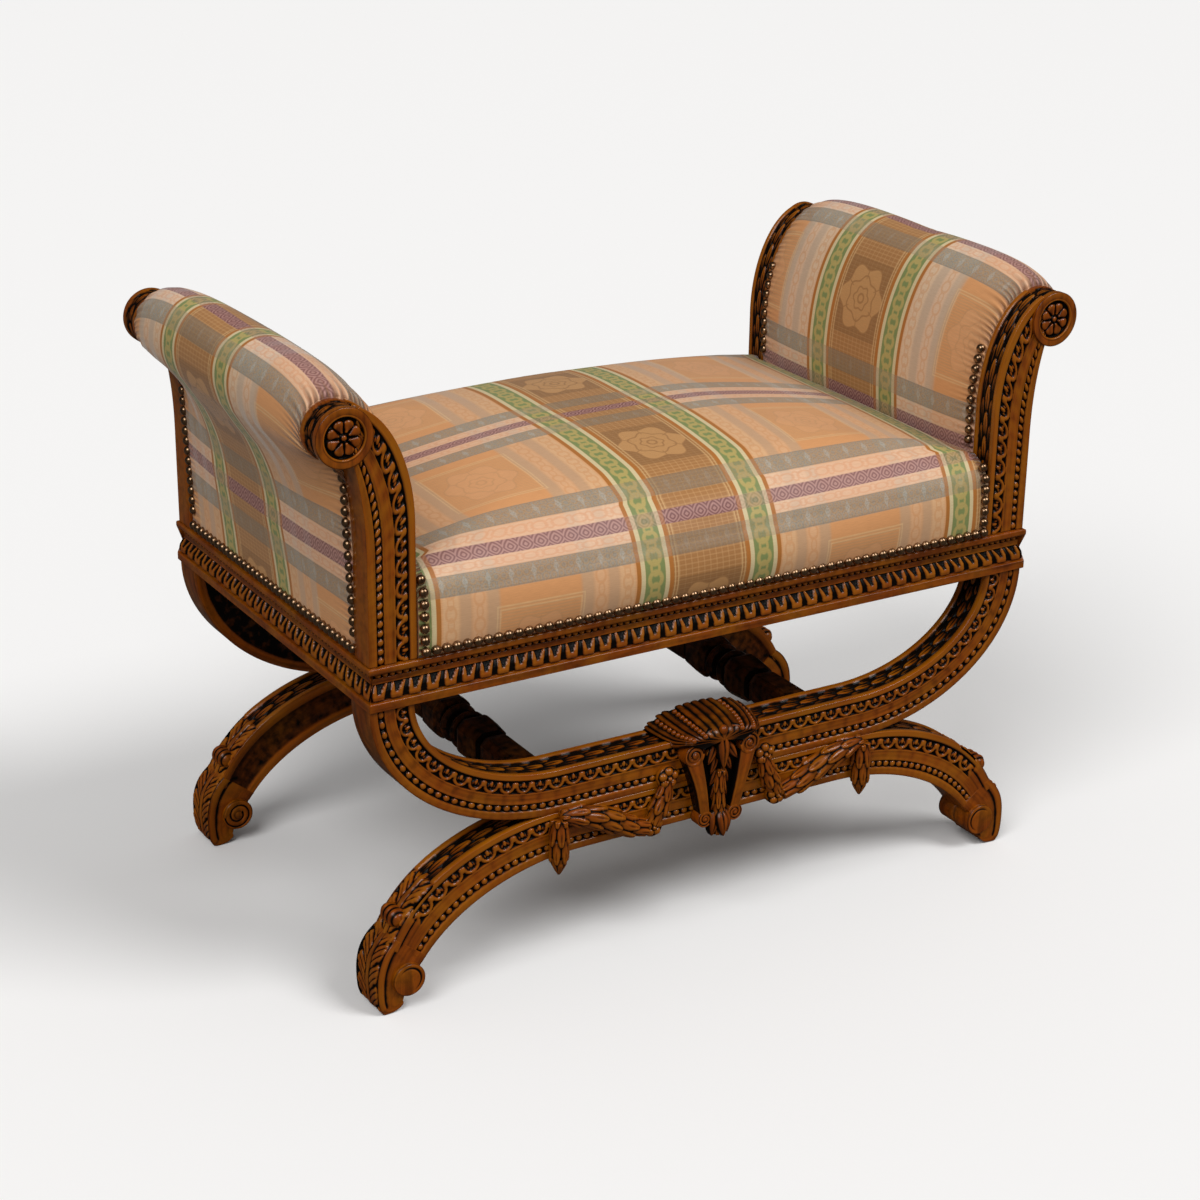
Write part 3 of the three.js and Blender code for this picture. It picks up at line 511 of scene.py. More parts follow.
def member(outer, inner, thick, face_relief, edge_relief, back_panel=2.2):
    """A moulded member swept between its outer and inner edge lines, each [station, XZ]. The section runs
    across the face, the inner edge, the back and the outer edge, and each relief moves its points along
    that side's own normal. The corners are eased."""
    width = np.linalg.norm(inner - outer, axis=1)[:, None]
    along = way_along((inner + outer) / 2)[:, None]
    length = along[-1, 0]
    rows = len(outer)
    toward = np.insert((inner - outer) / width, 1, 0, axis=1)
    outer = np.insert(outer, 1, -FRAME_FACE, axis=1)
    inner = outer + toward * width
    behind = np.array([[0.0, thick, 0.0]])
    out_y = np.array([[0.0, 1.0, 0.0]])
    panel = smooth(0.19, 0.23, BACK_COLUMNS) * (1 - smooth(0.77, 0.81, BACK_COLUMNS))
    sides = []
    stains = []
    for shares, heights, start, step, normal, dark in (
        (FACE_COLUMNS, face_relief(FACE_COLUMNS, along, length, width), outer, inner - outer, -out_y, 1.0),
        (EDGE_COLUMNS, edge_relief(EDGE_COLUMNS, along, length, thick), inner, behind, toward, 1.0),
        (BACK_COLUMNS, np.tile(-back_panel * panel, (rows, 1)), inner + behind, outer - inner, out_y, 0.4),
        (PLAIN_COLUMNS, np.zeros((rows, len(PLAIN_COLUMNS))), outer + behind, -behind, -toward, 1.0),
    ):
        eased = np.where((shares == 0) | (shares == 1), -EASE, 0) + heights
        points = start[:, None] + step[:, None] * shares[:, None] + normal[:, None] * eased[..., None]
        sides.append(points[:, :-1])
        stains.append((settled(heights, 5) * dark)[:, :-1])
    points = np.concatenate(sides, 1)
    around = np.linalg.norm(np.diff(np.concatenate([points, points[:, :1]], 1), axis=1), axis=2).mean(0)
    u = np.cumsum(np.insert(around, 0, 0))
    places = np.stack(np.broadcast_arrays(u, along), -1) * MM
    return tube(points, places, np.concatenate(stains, 1))


def stations(length):
    """How many stations a member takes at the carving's spacing."""
    return int(round(length / (wood_settings().carving_step / MM)))


def polar(x, z, radii, heights, base, back, around, side_heights=None, side_steps=6, facing=-1):
    """A round boss whose axis runs along Y: a face given by heights over radius and angle, on a drum that
    runs back from it. Base is the face's depth, back where the drum ends."""
    turn = circle(around)
    radius, angle = np.meshgrid(radii, turn, indexing="ij")
    height = heights(radius, angle)
    face = np.stack([x + radius * np.cos(angle), base + facing * height, z + radius * np.sin(angle)], -1)
    depth = np.linspace(0, 1, side_steps + 1)[1:]
    far, angle = np.meshgrid(depth, turn, indexing="ij")
    swell = 0 * far if side_heights is None else side_heights(far, angle)
    drum = np.stack([
        x + (radii[-1] + swell) * np.cos(angle),
        base + far * (back - base),
        z + (radii[-1] + swell) * np.sin(angle),
    ], -1)
    stain = np.concatenate([settled(height, 3), smooth(0.6, 2.5, -swell)])
    spread = np.concatenate([radii, radii[-1] + depth * abs(back - base)])[:, None]
    round_turn = np.append(turn, 2 * np.pi)
    places = np.stack([x + spread * np.cos(round_turn), z + spread * np.sin(round_turn)], -1) * MM
    return tube(np.concatenate([face, drum]), places, stain)


def ball(middle, radii, tall=10, around=14):
    """An ellipsoid from its middle and its three radii, with its poles along Z."""
    lift = np.linspace(-0.999, 0.999, tall) * np.pi / 2
    turn = circle(around)
    up, angle = np.meshgrid(lift, turn, indexing="ij")
    unit = np.stack([np.cos(up) * np.cos(angle), np.cos(up) * np.sin(angle), np.sin(up)], -1)
    return tube(np.array(middle) + unit * np.array(radii))


# Sizes and colours that a user would change


class BenchWoodSettings(bpy.types.PropertyGroup):
    """Sizes and colours of the carved walnut"""

    carving_depth: bpy.props.FloatProperty(
        name="Carving depth", description="How deep the ground of the carving lies below its fillets",
        default=3.2 * MM, unit="LENGTH",
    )
    carving_step: bpy.props.FloatProperty(
        name="Carving step", description="Distance between the stations of a carved member",
        default=1.25 * MM, unit="LENGTH",
    )
    bead_pitch: bpy.props.FloatProperty(
        name="Bead pitch", description="Distance between two beads of a row",
        default=10.8 * MM, unit="LENGTH",
    )
    leaf_pitch: bpy.props.FloatProperty(
        name="Scallop pitch", description="Length of one scallop", default=21.5 * MM, unit="LENGTH",
    )
    laurel_pitch: bpy.props.FloatProperty(
        name="Laurel pitch", description="Length of one laurel leaf", default=26.0 * MM, unit="LENGTH",
    )
    rail_leaf_pitch: bpy.props.FloatProperty(
        name="Rail leaf pitch", description="Width of one leaf on the rails",
        default=21.0 * MM, unit="LENGTH",
    )
    dart_pitch: bpy.props.FloatProperty(
        name="Dart pitch", description="Distance between two darts on the rails",
        default=8.3 * MM, unit="LENGTH",
    )
    light: bpy.props.StringProperty(
        name="Light figure", description="Lighter colour of the walnut's figure", default="884002",
    )
    dark: bpy.props.StringProperty(
        name="Dark figure", description="Darker colour of the walnut's figure", default="522202",
    )
    stain: bpy.props.StringProperty(
        name="Stain", description="Dark stain in the recesses", default="0D0907",
    )


class BenchCoverSettings(bpy.types.PropertyGroup):
    """Colours and filling of the damask covers"""

    ground: bpy.props.StringProperty(
        name="Ground", description="Peach ground of the damask", default="E0A06A",
    )
    green: bpy.props.StringProperty(
        name="Green", description="Green of the chain stripes", default="84935A",
    )
    pressure: bpy.props.FloatProperty(
        name="Stuffing pressure", description="Pressure that swells the covers", default=4.0, min=0.0,
    )
    cap: bpy.props.FloatProperty(
        name="Swell limit", description="How far the stuffing may push a cover",
        default=6.0 * MM, unit="LENGTH",
    )


class BenchNailSettings(bpy.types.PropertyGroup):
    """Size, pitch and colour of the brass nails"""

    diameter: bpy.props.FloatProperty(
        name="Nail diameter", description="Diameter of a nail's head", default=11.6 * MM, unit="LENGTH",
    )
    pitch: bpy.props.FloatProperty(
        name="Nail pitch", description="Distance between two nails of a row",
        default=12.2 * MM, unit="LENGTH",
    )
    colour: bpy.props.StringProperty(
        name="Brass", description="Antique brass of the nail heads", default="9A7650",
    )


class BenchStageSettings(bpy.types.PropertyGroup):
    """Camera, floor and lights"""

    lens: bpy.props.FloatProperty(
        name="Lens", description="Focal length of the camera on its 36 mm sensor", default=78.617,
    )
    floor: bpy.props.StringProperty(name="Floor", description="Colour of the floor", default="F6F5F4")
    ambient: bpy.props.FloatProperty(name="Ambient", description="Strength of the even light", default=0.34)
    key: bpy.props.FloatProperty(name="Key", description="Strength of the main lamp", default=1.5)
    fill: bpy.props.FloatProperty(name="Fill", description="Strength of the second lamp", default=1.45)


def wood_settings():
    """The sizes and colours of the carved wood."""
    return bpy.context.scene.bench_wood


def cover_settings():
    """The colours and the filling of the covers."""
    return bpy.context.scene.bench_cover


def nail_settings():
    """The size, pitch and colour of the nails."""
    return bpy.context.scene.bench_nails


def stage_settings():
    """The camera, the floor and the lights."""
    return bpy.context.scene.bench_stage


# Materials


def linear(colour):
    """A linear colour from sRGB hex digits. A colour that nodes work out stays as it is."""
    if isinstance(colour, Value):
        return colour
    parts = [int(colour[k:k + 2], 16) / 255 for k in (0, 2, 4)]
    return [c / 12.92 if c <= 0.04045 else ((c + 0.055) / 1.055) ** 2.4 for c in parts] + [1.0]


def add(tree, kind, inputs=None, output=0, **settings):
    """Adds a node of a kind with its settings, feeds each named input with a value or a link, and gives the
    output of that name or number."""
    node = tree.nodes.new("ShaderNode" + kind)
    for name, value in settings.items():
        setattr(node, name, value)
    for name, value in (inputs or {}).items():
        if isinstance(value, Value):
            tree.links.new(value.socket, node.inputs[name])
        else:
            node.inputs[name].default_value = value
    return Value(node.outputs[output]) if node.outputs else None


class Value:
    """A number or a colour that nodes work out at each point of a surface. Arithmetic on a number adds the
    node that does it."""

    def __init__(self, socket):
        self.socket = socket
        self.tree = socket.id_data

    def math(self, operation, *others, clamp=False):
        inputs = dict(enumerate((self, *others)))
        return add(self.tree, "Math", inputs, operation=operation, use_clamp=clamp)

    def __add__(self, other):
        return self.math("ADD", other)

    def __sub__(self, other):
        return self.math("SUBTRACT", other)

    def __mul__(self, other):
        return self.math("MULTIPLY", other)

    def __abs__(self):
        return self.math("ABSOLUTE")

    def clipped(self):
        """The number kept between 0 and 1."""
        return self.math("ADD", 0.0, clamp=True)

    def most(self, other):
        """The larger of two numbers."""
        return self.math("MAXIMUM", other)

    def wrapped(self, period):
        """The number brought within half a period of zero."""
        return self.math("WRAP", period / 2, -period / 2)


def part_way(value, low, high):
    """How far a value has come from low to high, from 0 to 1."""
    return value.math("MULTIPLY_ADD", 1 / (high - low), -low / (high - low), clamp=True)


def band(distance, half, soft=0.5):
    """1 where a distance is less than half, and 0 beyond it, with a soft edge."""
    return part_way(abs(distance), half + soft, half - soft)


def hypot(x, y):
    """The distance from the middle of a cell."""
    return (x * x + y * y).math("SQRT")


def lay(below, above, share):
    """One colour laid over another, by a share from 0 to 1."""
    inputs = {"Factor": share, "A": linear(below), "B": linear(above)}
    return add(share.tree, "Mix", inputs, "Result", data_type="RGBA")


def new_material(name):
    """The empty node tree of a new material."""
    made = bpy.data.materials.new(name)
    made.use_nodes = True
    made.node_tree.nodes.clear()
    return made.node_tree


def finish(tree, inputs):
    """Ends a material: its shader, with what feeds it, and its output."""
    shader = add(tree, "BsdfPrincipled", inputs)
    add(tree, "OutputMaterial", {"Surface": shader})


def make_walnut():
    """Polished walnut, carved and glazed: an orange-brown ground with long darker figure and short pores
    along the grain, dark stain settled in the recesses, and a satin wax shine."""
    settings = wood_settings()
    tree = new_material("carved_walnut")
    place = add(tree, "UVMap", uv_map="place")
    # Figure bands about 6 mm wide and 150 mm long, and pores about 0.5 mm wide and 8 mm long.
    figure_place = add(tree, "Mapping", {"Vector": place, "Scale": (160, 7, 1)})
    pore_place = add(tree, "Mapping", {"Vector": place, "Scale": (1400, 90, 1)})
    figure = add(tree, "TexNoise", {"Vector": figure_place, "Scale": 1.0, "Detail": 4.0})
    pores = add(tree, "TexNoise", {"Vector": pore_place, "Scale": 1.0, "Detail": 2.0})
    # Clouds from red-brown to gold, about 60 mm across, and a finer one that frays the edge of the stain.
    cloud = add(tree, "TexNoise", {"Vector": place, "Scale": 16.0, "Detail": 1.0})
    wander = add(tree, "TexNoise", {"Vector": place, "Scale": 90.0, "Detail": 3.0})
    stain = add(tree, "Attribute", output="Fac", attribute_name="stain", attribute_type="GEOMETRY")
    wood = lay(settings.dark, settings.light, part_way(figure, 0.28, 0.6))
    wood = lay(wood, "925504", part_way(cloud, 0.42, 0.66) * 0.6)
    wood = lay("4E2508", wood, part_way(pores, 0.3, 0.42) * 0.55 + 0.45)
    # Proud edges are rubbed paler, and the stain lies over the rest where it has settled.
    wood = lay(wood, "A5620A", part_way(stain, 0.0, -0.5) * 0.45)
    settled_stain = part_way(wander * 0.64 + stain, 0.3, 0.85)
    bump = add(tree, "Bump", {"Height": pores, "Strength": 0.25, "Distance": 0.1 * MM})
    # The stain in the recesses is dry, so they hardly shine.
    finish(tree, {
        "Base Color": lay(wood, settings.stain, settled_stain),
        "Roughness": figure.clipped() * 0.16 + 0.24, "IOR": 1.5,
        "Specular IOR Level": settled_stain * -0.14 + 0.22,
        "Coat Weight": settled_stain * -0.28 + 0.28, "Coat Roughness": 0.09, "Normal": bump,
    })


def make_beech():
    """Plain sawn beech of the hidden rails and blocks: pale, matt, with short brown flecks."""
    tree = new_material("sawn_beech")
    place = add(tree, "TexCoord", output="Object")
    stretched = add(tree, "Mapping", {"Vector": place, "Scale": (60, 400, 400)})
    fleck = add(tree, "TexNoise", {"Vector": stretched, "Scale": 1.0, "Detail": 3.0})
    colour = lay("8F6A42", "B58E60", part_way(fleck, 0.35, 0.6))
    bump = add(tree, "Bump", {"Height": fleck, "Strength": 0.4, "Distance": 0.2 * MM})
    finish(tree, {"Base Color": colour, "Roughness": 0.75, "IOR": 1.5, "Normal": bump})


def make_jute():
    """Woven jute of the webbing and hessian: coarse tan threads about 2 mm apart, over and under."""
    tree = new_material("woven_jute")
    place = add(tree, "TexCoord", output="Object")
    inputs = {"Vector": place, "Scale": 80.0, "Distortion": 0.6, "Detail": 1.0}
    warp, weft = (
        add(tree, "TexWave", inputs, "Fac", wave_type="BANDS", bands_direction=direction)
        for direction in "XY"
    )
    threads = warp.most(weft)
    colour = lay("6E5636", "B29669", part_way(threads, 0.2, 0.9))
    bump = add(tree, "Bump", {"Height": threads, "Strength": 0.8, "Distance": 0.6 * MM})
    finish(tree, {"Base Color": colour, "Roughness": 0.95, "Normal": bump})


def make_brass():
    """Antique brass nail heads: domed, in patches from darkened brown to brighter brass."""
    tree = new_material("antique_brass")
    place = add(tree, "TexCoord", output="Object")
    cloud = add(tree, "TexNoise", {"Vector": place, "Scale": 260.0, "Detail": 3.0})
    colour = lay("6A4A2C", nail_settings().colour, part_way(cloud, 0.3, 0.6))
    rough = cloud.clipped() * 0.2 + 0.22
    finish(tree, {
        "Base Color": colour, "Metallic": 1.0, "Roughness": rough, "Coat Weight": 1.0, "Coat Roughness": 0.16,
    })


# The damask, in millimetres: across from the middle of a tan stripe, and along from a plum band
STRIPE_PERIOD = 421.0
TAN_HALF = 48.0
GREEN_OUT, GREEN_HALF = 70.5, 12.6
CHAINS = ((105.0, 22.0), (138.0, 27.0))
RIBS = ((122.0, 7.0), (154.0, 7.5))
PANEL_OUT = 210.5
PANEL_HALF = (47.0, 52.0)
GREY_OUT, GREY_HALF = 37.0, 12.0
PLUM_HALF = 8.5
THREAD_PITCH = 1.1
# Where painted sheen whitens the arms' cover: it rises between these heights, and lies on the arms' inner
# faces, within this distance of the middle.
PAINTED_SHEEN_HEIGHTS = (580.0, 650.0)
PAINTED_SHEEN_INSIDE = 412.0


def make_cover():
    """Striped damask, woven: a peach ground with columns of chain and paler ribs, green stripes with linked
    rings between cream and copper lines, a tan stripe with flower medallions, and across them groups of a
    plum guilloche between two blue-grey bands. Places are in metres, across the stripes and along them."""
    settings = cover_settings()
    tree = new_material("damask_cover")
    place = add(tree, "UVMap", uv_map="place")
    spot = add(tree, "TexCoord", output="Object")
    across, along = (add(tree, "SeparateXYZ", {"Vector": place}, axis) * (1 / MM) for axis in "XY")
    x, y, z = (add(tree, "SeparateXYZ", {"Vector": spot}, axis) * (1 / MM) for axis in "XYZ")
    from_tan = across.wrapped(STRIPE_PERIOD)
    side = abs(from_tan)
    from_plum = abs(along.wrapped(GROUP_PITCH))
    from_middle = from_plum - GROUP_PITCH / 2
    cloud = add(tree, "TexNoise", {"Vector": place, "Scale": 11.0, "Detail": 4.0})
    # Worn grain of the grey threads, 2 mm across.
    grain = add(tree, "TexNoise", {"Vector": place, "Scale": 520.0, "Detail": 1.0})
    far = abs(x)
    on_arm = far.math("GREATER_THAN", POST_INNER - ARM_BULGE - 3)
    # Painted sheen: where the satin of the arms' cover catches the light, on the rolls and inner faces, the
    # columns are painted whiter.
    painted_sheen = on_arm * part_way(z, *PAINTED_SHEEN_HEIGHTS).most(far.math("LESS_THAN", PAINTED_SHEEN_INSIDE))
    ground = lay(settings.ground, "CB8E58", cloud * 0.35)
    ground = weave_columns(ground, side, along, painted_sheen)
    ground = weave_panel(ground, side, from_middle)
    ground = weave_between(ground, across, from_plum)
    colour = lay(ground, weave_tan(cloud, from_tan, along, from_middle), band(side, TAN_HALF, 0.8))
    colour = weave_cross_bands(colour, across, from_plum, grain)
    colour = weave_green(colour, cloud, side, along, from_plum)
    # Threads: their pitch is coarser than the real one, so that they show, and every few are thicker.
    turn = 2 * math.pi / THREAD_PITCH
    height = (along * turn).math("SINE") * 0.5 + (across * turn).math("SINE") * 0.35
    slub_place = add(tree, "Mapping", {"Vector": place, "Scale": (90, 1500, 1)})
    slubs = add(tree, "TexNoise", {"Vector": slub_place, "Scale": 1.0, "Detail": 2.0})
    colour = lay(colour, "7F5C41", (height * 0.1 + slubs * 0.42 - 0.08).clipped())
    gather, tight = pleats_at_posts(along, y, on_arm)
    # Painted shade darkens the hollows of the pleats beside the posts.
    colour = lay(colour, "8A5F45", (gather * -0.5 + 0.5) * tight)
    drawn = add(tree, "Bump", {"Height": gather * tight, "Strength": 1.0, "Distance": 1.3 * MM})
    bump = add(tree, "Bump", {"Height": height, "Strength": 0.35, "Distance": 0.12 * MM, "Normal": drawn})
    # The ribs beside the green stripes are satin and catch the light on the rolls.
    ribs, more_ribs = (band(side - out, half, 1.5) for out, half in RIBS)
    finish(tree, {
        "Base Color": colour, "Roughness": 0.42, "IOR": 1.45, "Specular IOR Level": 0.3,
        "Sheen Weight": ribs.most(more_ribs) * 0.3 + 0.2, "Sheen Roughness": 0.35, "Normal": bump,
    })


def pleats_at_posts(along, y, on_arm):
    """Fine pleats, 8 mm apart and of uneven width, where an arm's cover is drawn in beside the posts: the
    wave, and how tightly the cover is gathered, which halves every 9 mm away from the post."""
    past_post = abs(y) - PAD_REACH
    phase = (along * 0.13).math("SINE") * 1.6 + along * 0.78
    tight = on_arm.math("MULTIPLY", (past_post * (math.log(2) / 9)).math("EXPONENT"), clamp=True)
    return phase.math("SINE"), tight


def weave_columns(colour, side, along, painted_sheen):
    """Beside each green stripe: two columns of chain on a paler ground, each followed by a grey-beige rib.
    Painted sheen makes the whole band whiter on the arms, on their inside and their rolls, where the satin
    catches the light."""
    (first, _), (second, _) = CHAINS
    (rib, rib_half), (last_rib, last_half) = RIBS
    # Painted sheen whitens the band on the arms.
    colour = lay(colour, "DCCDBC", band(side - 126.0, 33.0, 6.0) * painted_sheen * 0.55)
    for out, half, tint, strength in (
        (first, 10.0, "E6C8A0", 0.45), (rib, rib_half, "B9A68C", 0.5),
        (second, 8.5, "E6C09A", 0.45), (last_rib, last_half, "B9A68C", 0.5),
    ):
        colour = lay(colour, tint, band(side - out, half, 2.0) * strength)
    for out, pitch in CHAINS:
        away = side - out
        link = hypot(away * 1.25, along.wrapped(pitch)) - 7.2
        next_link = hypot(away * 1.9, (along + pitch / 2).wrapped(pitch)) - 6.4
        links = band(link, 1.5, 0.8).most(band(next_link, 1.5, 0.8))
        colour = lay(colour, "CF8C55", links * 0.38)
    return colour


def weave_panel(colour, side, from_middle):
    """The open panel between two pairs of stripes: a large flower, tone on tone, on a hatched ground in a
    frame of fine lines."""
    out = side - PANEL_OUT
    inside = band(out, PANEL_HALF[0], 1.5) * band(from_middle, PANEL_HALF[1], 1.5)
    colour = lay(colour, "B39A74", inside * band(from_middle.wrapped(3.4), 0.8) * 0.3)
    petals, lines = flower(out, from_middle, 43.0)
    colour = lay(colour, "E2A674", petals * 0.6)
    colour = lay(colour, "B88A5E", lines * 0.35)
    edge = abs(out).most(abs(from_middle))
    for reach in (48.5, 52.0):
        colour = lay(colour, "EBC48E", band(edge - reach, 0.8, 0.4) * 0.5)
    return colour


def weave_between(colour, across, from_plum):
    """Between the cross bands, a paler ground in pink and cream that is painted sheen of the satin, with a
    thin chain of long and round links.
    """
    between = band(from_plum, GREY_OUT - GREY_HALF, 1.5)
    # Painted sheen: the ground between the cross bands is laid paler.
    colour = lay(colour, "EFCFB4", between * 0.5)
    from_chain = from_plum - 16.5
    link = hypot(across.wrapped(24.0) * 0.5, from_chain) - 4.4
    next_link = hypot((across + 12.0).wrapped(24.0), from_chain) - 4.8
    return lay(colour, "DC9468", band(link, 0.9).most(band(next_link, 0.9)) * between * 0.4)


def weave_tan(cloud, from_tan, along, from_middle):
    """The tan stripe: crossed by fine paler lines near the cross bands, with a pale flower of six petals on
    a dark hatched ground half way between them."""
    side = abs(from_tan)
    tan = lay("B07D4A", "97683B", cloud * 0.5)
    for pitch, value in ((5.0, along), (8.0, from_tan)):
        tan = lay(tan, "D0A06C", band(value.wrapped(pitch), 0.7, 0.4) * 0.35)
    hatch = band(from_middle.wrapped(2.6), 0.6, 0.3) * -0.3 + 0.95
    tan = lay(tan, "8A633C", band(side, 41.0) * band(from_middle, 47.0) * hatch * 0.65)
    petals, lines = flower(from_tan, from_middle, 44.0)
    tan = lay(tan, "C8955E", petals * 0.9)
    tan = lay(tan, "80552F", lines * 0.5)
    for reach in (41.5, 45.5):
        tan = lay(tan, "DDB47C", band(side - reach, 0.7, 0.4) * 0.7)
    return tan


def weave_cross_bands(colour, across, from_plum, grain):
    """The cross bands. The blue-grey ones carry a chain of small rings with a pale lozenge at every third
    one, and the plum one a guilloche: lozenges and rings within each other."""
    from_grey = from_plum - GREY_OUT
    step = abs(across.wrapped(9.0))
    rings = hypot(step, from_grey) - 3.6
    halves = hypot(step - 4.5, abs(from_grey) - 8.0) - 2.6
    lozenge = abs(across.wrapped(27.0)) + abs(from_grey) * 0.45
    on_tan = band(across.wrapped(STRIPE_PERIOD), TAN_HALF + 0.5, 0.8)
    grey = lay("8D9189", "A8906F", band(rings, 0.9, 0.4) * 0.8)
    grey = lay(grey, "A8906F", band(halves, 0.8, 0.4) * 0.7)
    grey = lay(grey, "A9B7B3", band(lozenge, 3.8) * 0.55)
    grey = lay(grey, "6F7068", band(abs(from_grey) - 11.2, 0.6, 0.4) * 0.5)
    grey = lay(grey, "656255", (grain * 5.0 - 2.3).clipped() * 0.45)
    grey = lay(grey, "7A6448", on_tan * 0.55)
    colour = lay(colour, grey, band(from_grey, GREY_HALF) * (on_tan * -0.12 + 0.76))
    plum_x = abs(across.wrapped(18.0))
    away = (hypot(plum_x, from_plum) + plum_x + from_plum) * 0.45
    ripple = (away * (2 * math.pi / 4.0)).math("SINE")
    plum = lay("683746", "B28482", ripple * 0.5 + 0.5)
    return lay(colour, plum, band(from_plum, PLUM_HALF) * 0.84)


def weave_green(colour, cloud, side, along, from_plum):
    """The green stripes: ochre linked rings, round and long by turns, with cream and copper lines outside.
    The cross bands show through where they run over them."""
    from_green = side - GREEN_OUT
    pitch = 23.0
    rings = hypot(from_green, along.wrapped(pitch)) - 7.6
    long_rings = hypot(from_green * 1.35, (along + pitch / 2).wrapped(pitch)) - 6.6
    green = lay(cover_settings().green, "6F7F4A", cloud * 0.5)
    green = lay(green, "BCA864", band(rings, 2.4, 0.8).most(band(long_rings, 2.2, 0.8)) * 0.9)
    crossed = band(from_plum - GREY_OUT, GREY_HALF).most(band(from_plum, PLUM_HALF))
    shown = crossed * -0.4 + 1.0
    for out, tint in ((20.6, "B3702F"), (15.2, "D9C79A")):
        colour = lay(colour, tint, band(abs(from_green) - out, 2.7) * shown)
    return lay(colour, green, band(from_green, GREEN_HALF) * shown)


def flower(x, y, reach):
    """A woven flower: the ground of its six round petals, whose reach swells with the cosine of the angle,
    and its lines: their outline, a smaller flower in it turned by half a petal, the gaps and an eye."""
    distance = hypot(x, y)
    angle = y.math("ARCTAN2", x)
    lines = band(distance - reach * 0.12, reach * 0.03, reach * 0.015)
    outlines = []
    for share, turn in ((0.88, 0.0), (0.56, math.pi), (0.3, 0.0)):
        petals = (angle * 6.0 + turn).math("COSINE")
        outlines.append(distance - (petals * (reach * 0.11 * share) + reach * share))
        lines = lines.most(band(outlines[-1], reach * 0.025, reach * 0.015))
    ground = outlines[0].math("MULTIPLY", 0.8, clamp=True) * -1 + 1.0
    spokes = band((angle * 3.0 + math.pi / 2).math("SINE"), 0.07, 0.05)
    return ground, lines.most(spokes * band(distance - reach * 0.68, reach * 0.15))


class BENCH_OT_materials(bpy.types.Operator):
    """Makes the walnut, beech, jute, brass and damask, and gives the hidden nodes theirs"""

    bl_idname = "bench.materials"
    bl_label = "Materials"

    def execute(self, context):
        make_walnut()
        make_beech()
        make_jute()
        make_brass()
        make_cover()
        for name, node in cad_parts.items():
            jute = name in ("seat_webbing", "seat_hessian")
            node.data.materials.clear()
            node.data.materials.append(bpy.data.materials["woven_jute" if jute else "sawn_beech"])
        return {"FINISHED"}


# The X frames


def cradle_edges():
    """The outer and inner edge lines of half a cradle, from the rail down a quarter of an ellipse to a
    straight run along the middle. Each edge lies half the width from the centre line, along its normal."""
    arc = stations(math.pi / 2 * math.hypot(CRADLE_REACH, CRADLE_DROP) / math.sqrt(2))
    turn = np.linspace(0, np.pi / 2, arc)
    across, down = np.cos(turn), np.sin(turn)
    centre = np.stack([CRADLE_FLAT + CRADLE_REACH * across, RAIL_BOTTOM - CRADLE_DROP * down], 1)
    normal = np.stack([across / CRADLE_REACH, -down / CRADLE_DROP], 1)
    normal *= MEMBER_WIDTH / 2 / np.linalg.norm(normal, axis=1)[:, None]
    x = np.linspace(CRADLE_FLAT, cradle_low[0], stations(CRADLE_FLAT))[1:]
    run = np.stack([x, np.full(len(x), MEET)], 1)
    outer = np.concatenate([centre + normal, run])
    inner = np.concatenate([centre - normal, run + [0, MEMBER_WIDTH]])
    return outer, inner


def leg_width(turn):
    """A leg's width: it swells as a sine to the knee, then falls with the square of the way to the ankle."""
    share = turn / ANKLE_ANGLE
    rise = HIP_WIDTH + (KNEE_WIDTH - HIP_WIDTH) * np.sin(np.clip(share / KNEE_SHARE, 0, 1) * np.pi / 2)
    fall = np.clip((share - KNEE_SHARE) / (1 - KNEE_SHARE), 0, 1)
    return rise - (KNEE_WIDTH - ANKLE_WIDTH) * fall ** 2


def leg_edges(turn):
    """The under and upper edges of a leg at angles round its ellipse."""
    under = np.stack([LEG_FLAT + LEG_REACH * np.sin(turn), LEG_RISE * np.cos(turn) - LEG_SINK], -1)
    normal = np.stack([np.sin(turn) / LEG_REACH, np.cos(turn) / LEG_RISE], -1)
    normal *= (leg_width(turn) / np.linalg.norm(normal, axis=-1))[..., None]
    return under, under + normal


def leg_surface():
    """Half of the arch: the leg from its ankle up to the straight run along the middle, with scallops and
    beads on its face, laurel along its top and acanthus down its shin."""
    arc = stations(math.hypot(LEG_REACH, LEG_RISE) * 0.74 * ANKLE_ANGLE + 30)
    turn = np.linspace(ANKLE_ANGLE, 0, arc)
    under, over = leg_edges(turn)
    x = np.linspace(LEG_FLAT, cradle_low[0], stations(LEG_FLAT))[1:]
    under, over = (
        np.concatenate([line, np.stack([x, np.full(len(x), line[-1, 1])], 1)]) for line in (under, over)
    )
    # The leg stays a hair under the cradle that rests on it.
    over[:, 1] = np.where(over[:, 0] < LEG_FLAT + 30, np.minimum(over[:, 1], MEET - 0.3), over[:, 1])

    def top_relief(share, along, length, thick):
        laurel = edge_heights(share, along, length, thick)
        depth = wood_settings().carving_depth / MM
        leafy = acanthus(along, (share - 0.5) * thick, thick * 0.5) * (depth + 1.2) - depth
        return laurel + (leafy - laurel) * (1 - smooth(SHIN_LENGTH - 8, SHIN_LENGTH, along))

    def face_relief(share, along, length, width):
        carved = front_heights(share, along, length, width)
        ankle = 1 - smooth(SHIN_LENGTH - 44, SHIN_LENGTH - 34, along)
        return carved + (side_roll(share, 0.02) - carved) * ankle * smooth(0.53, 0.56, share)

    body = member(under, over, FRAME_THICK, face_relief, top_relief)
    return joined([body, foot_surface(), knee_curl()])


def side_roll(share, groove):
    """The bead along a leg's upper edge at the ankle and a foot, with a groove of a given width below it."""
    return 1.4 * dome((share - 0.88) / 0.11) - 0.8 * np.exp(-(((share - 0.75) / groove) ** 2))


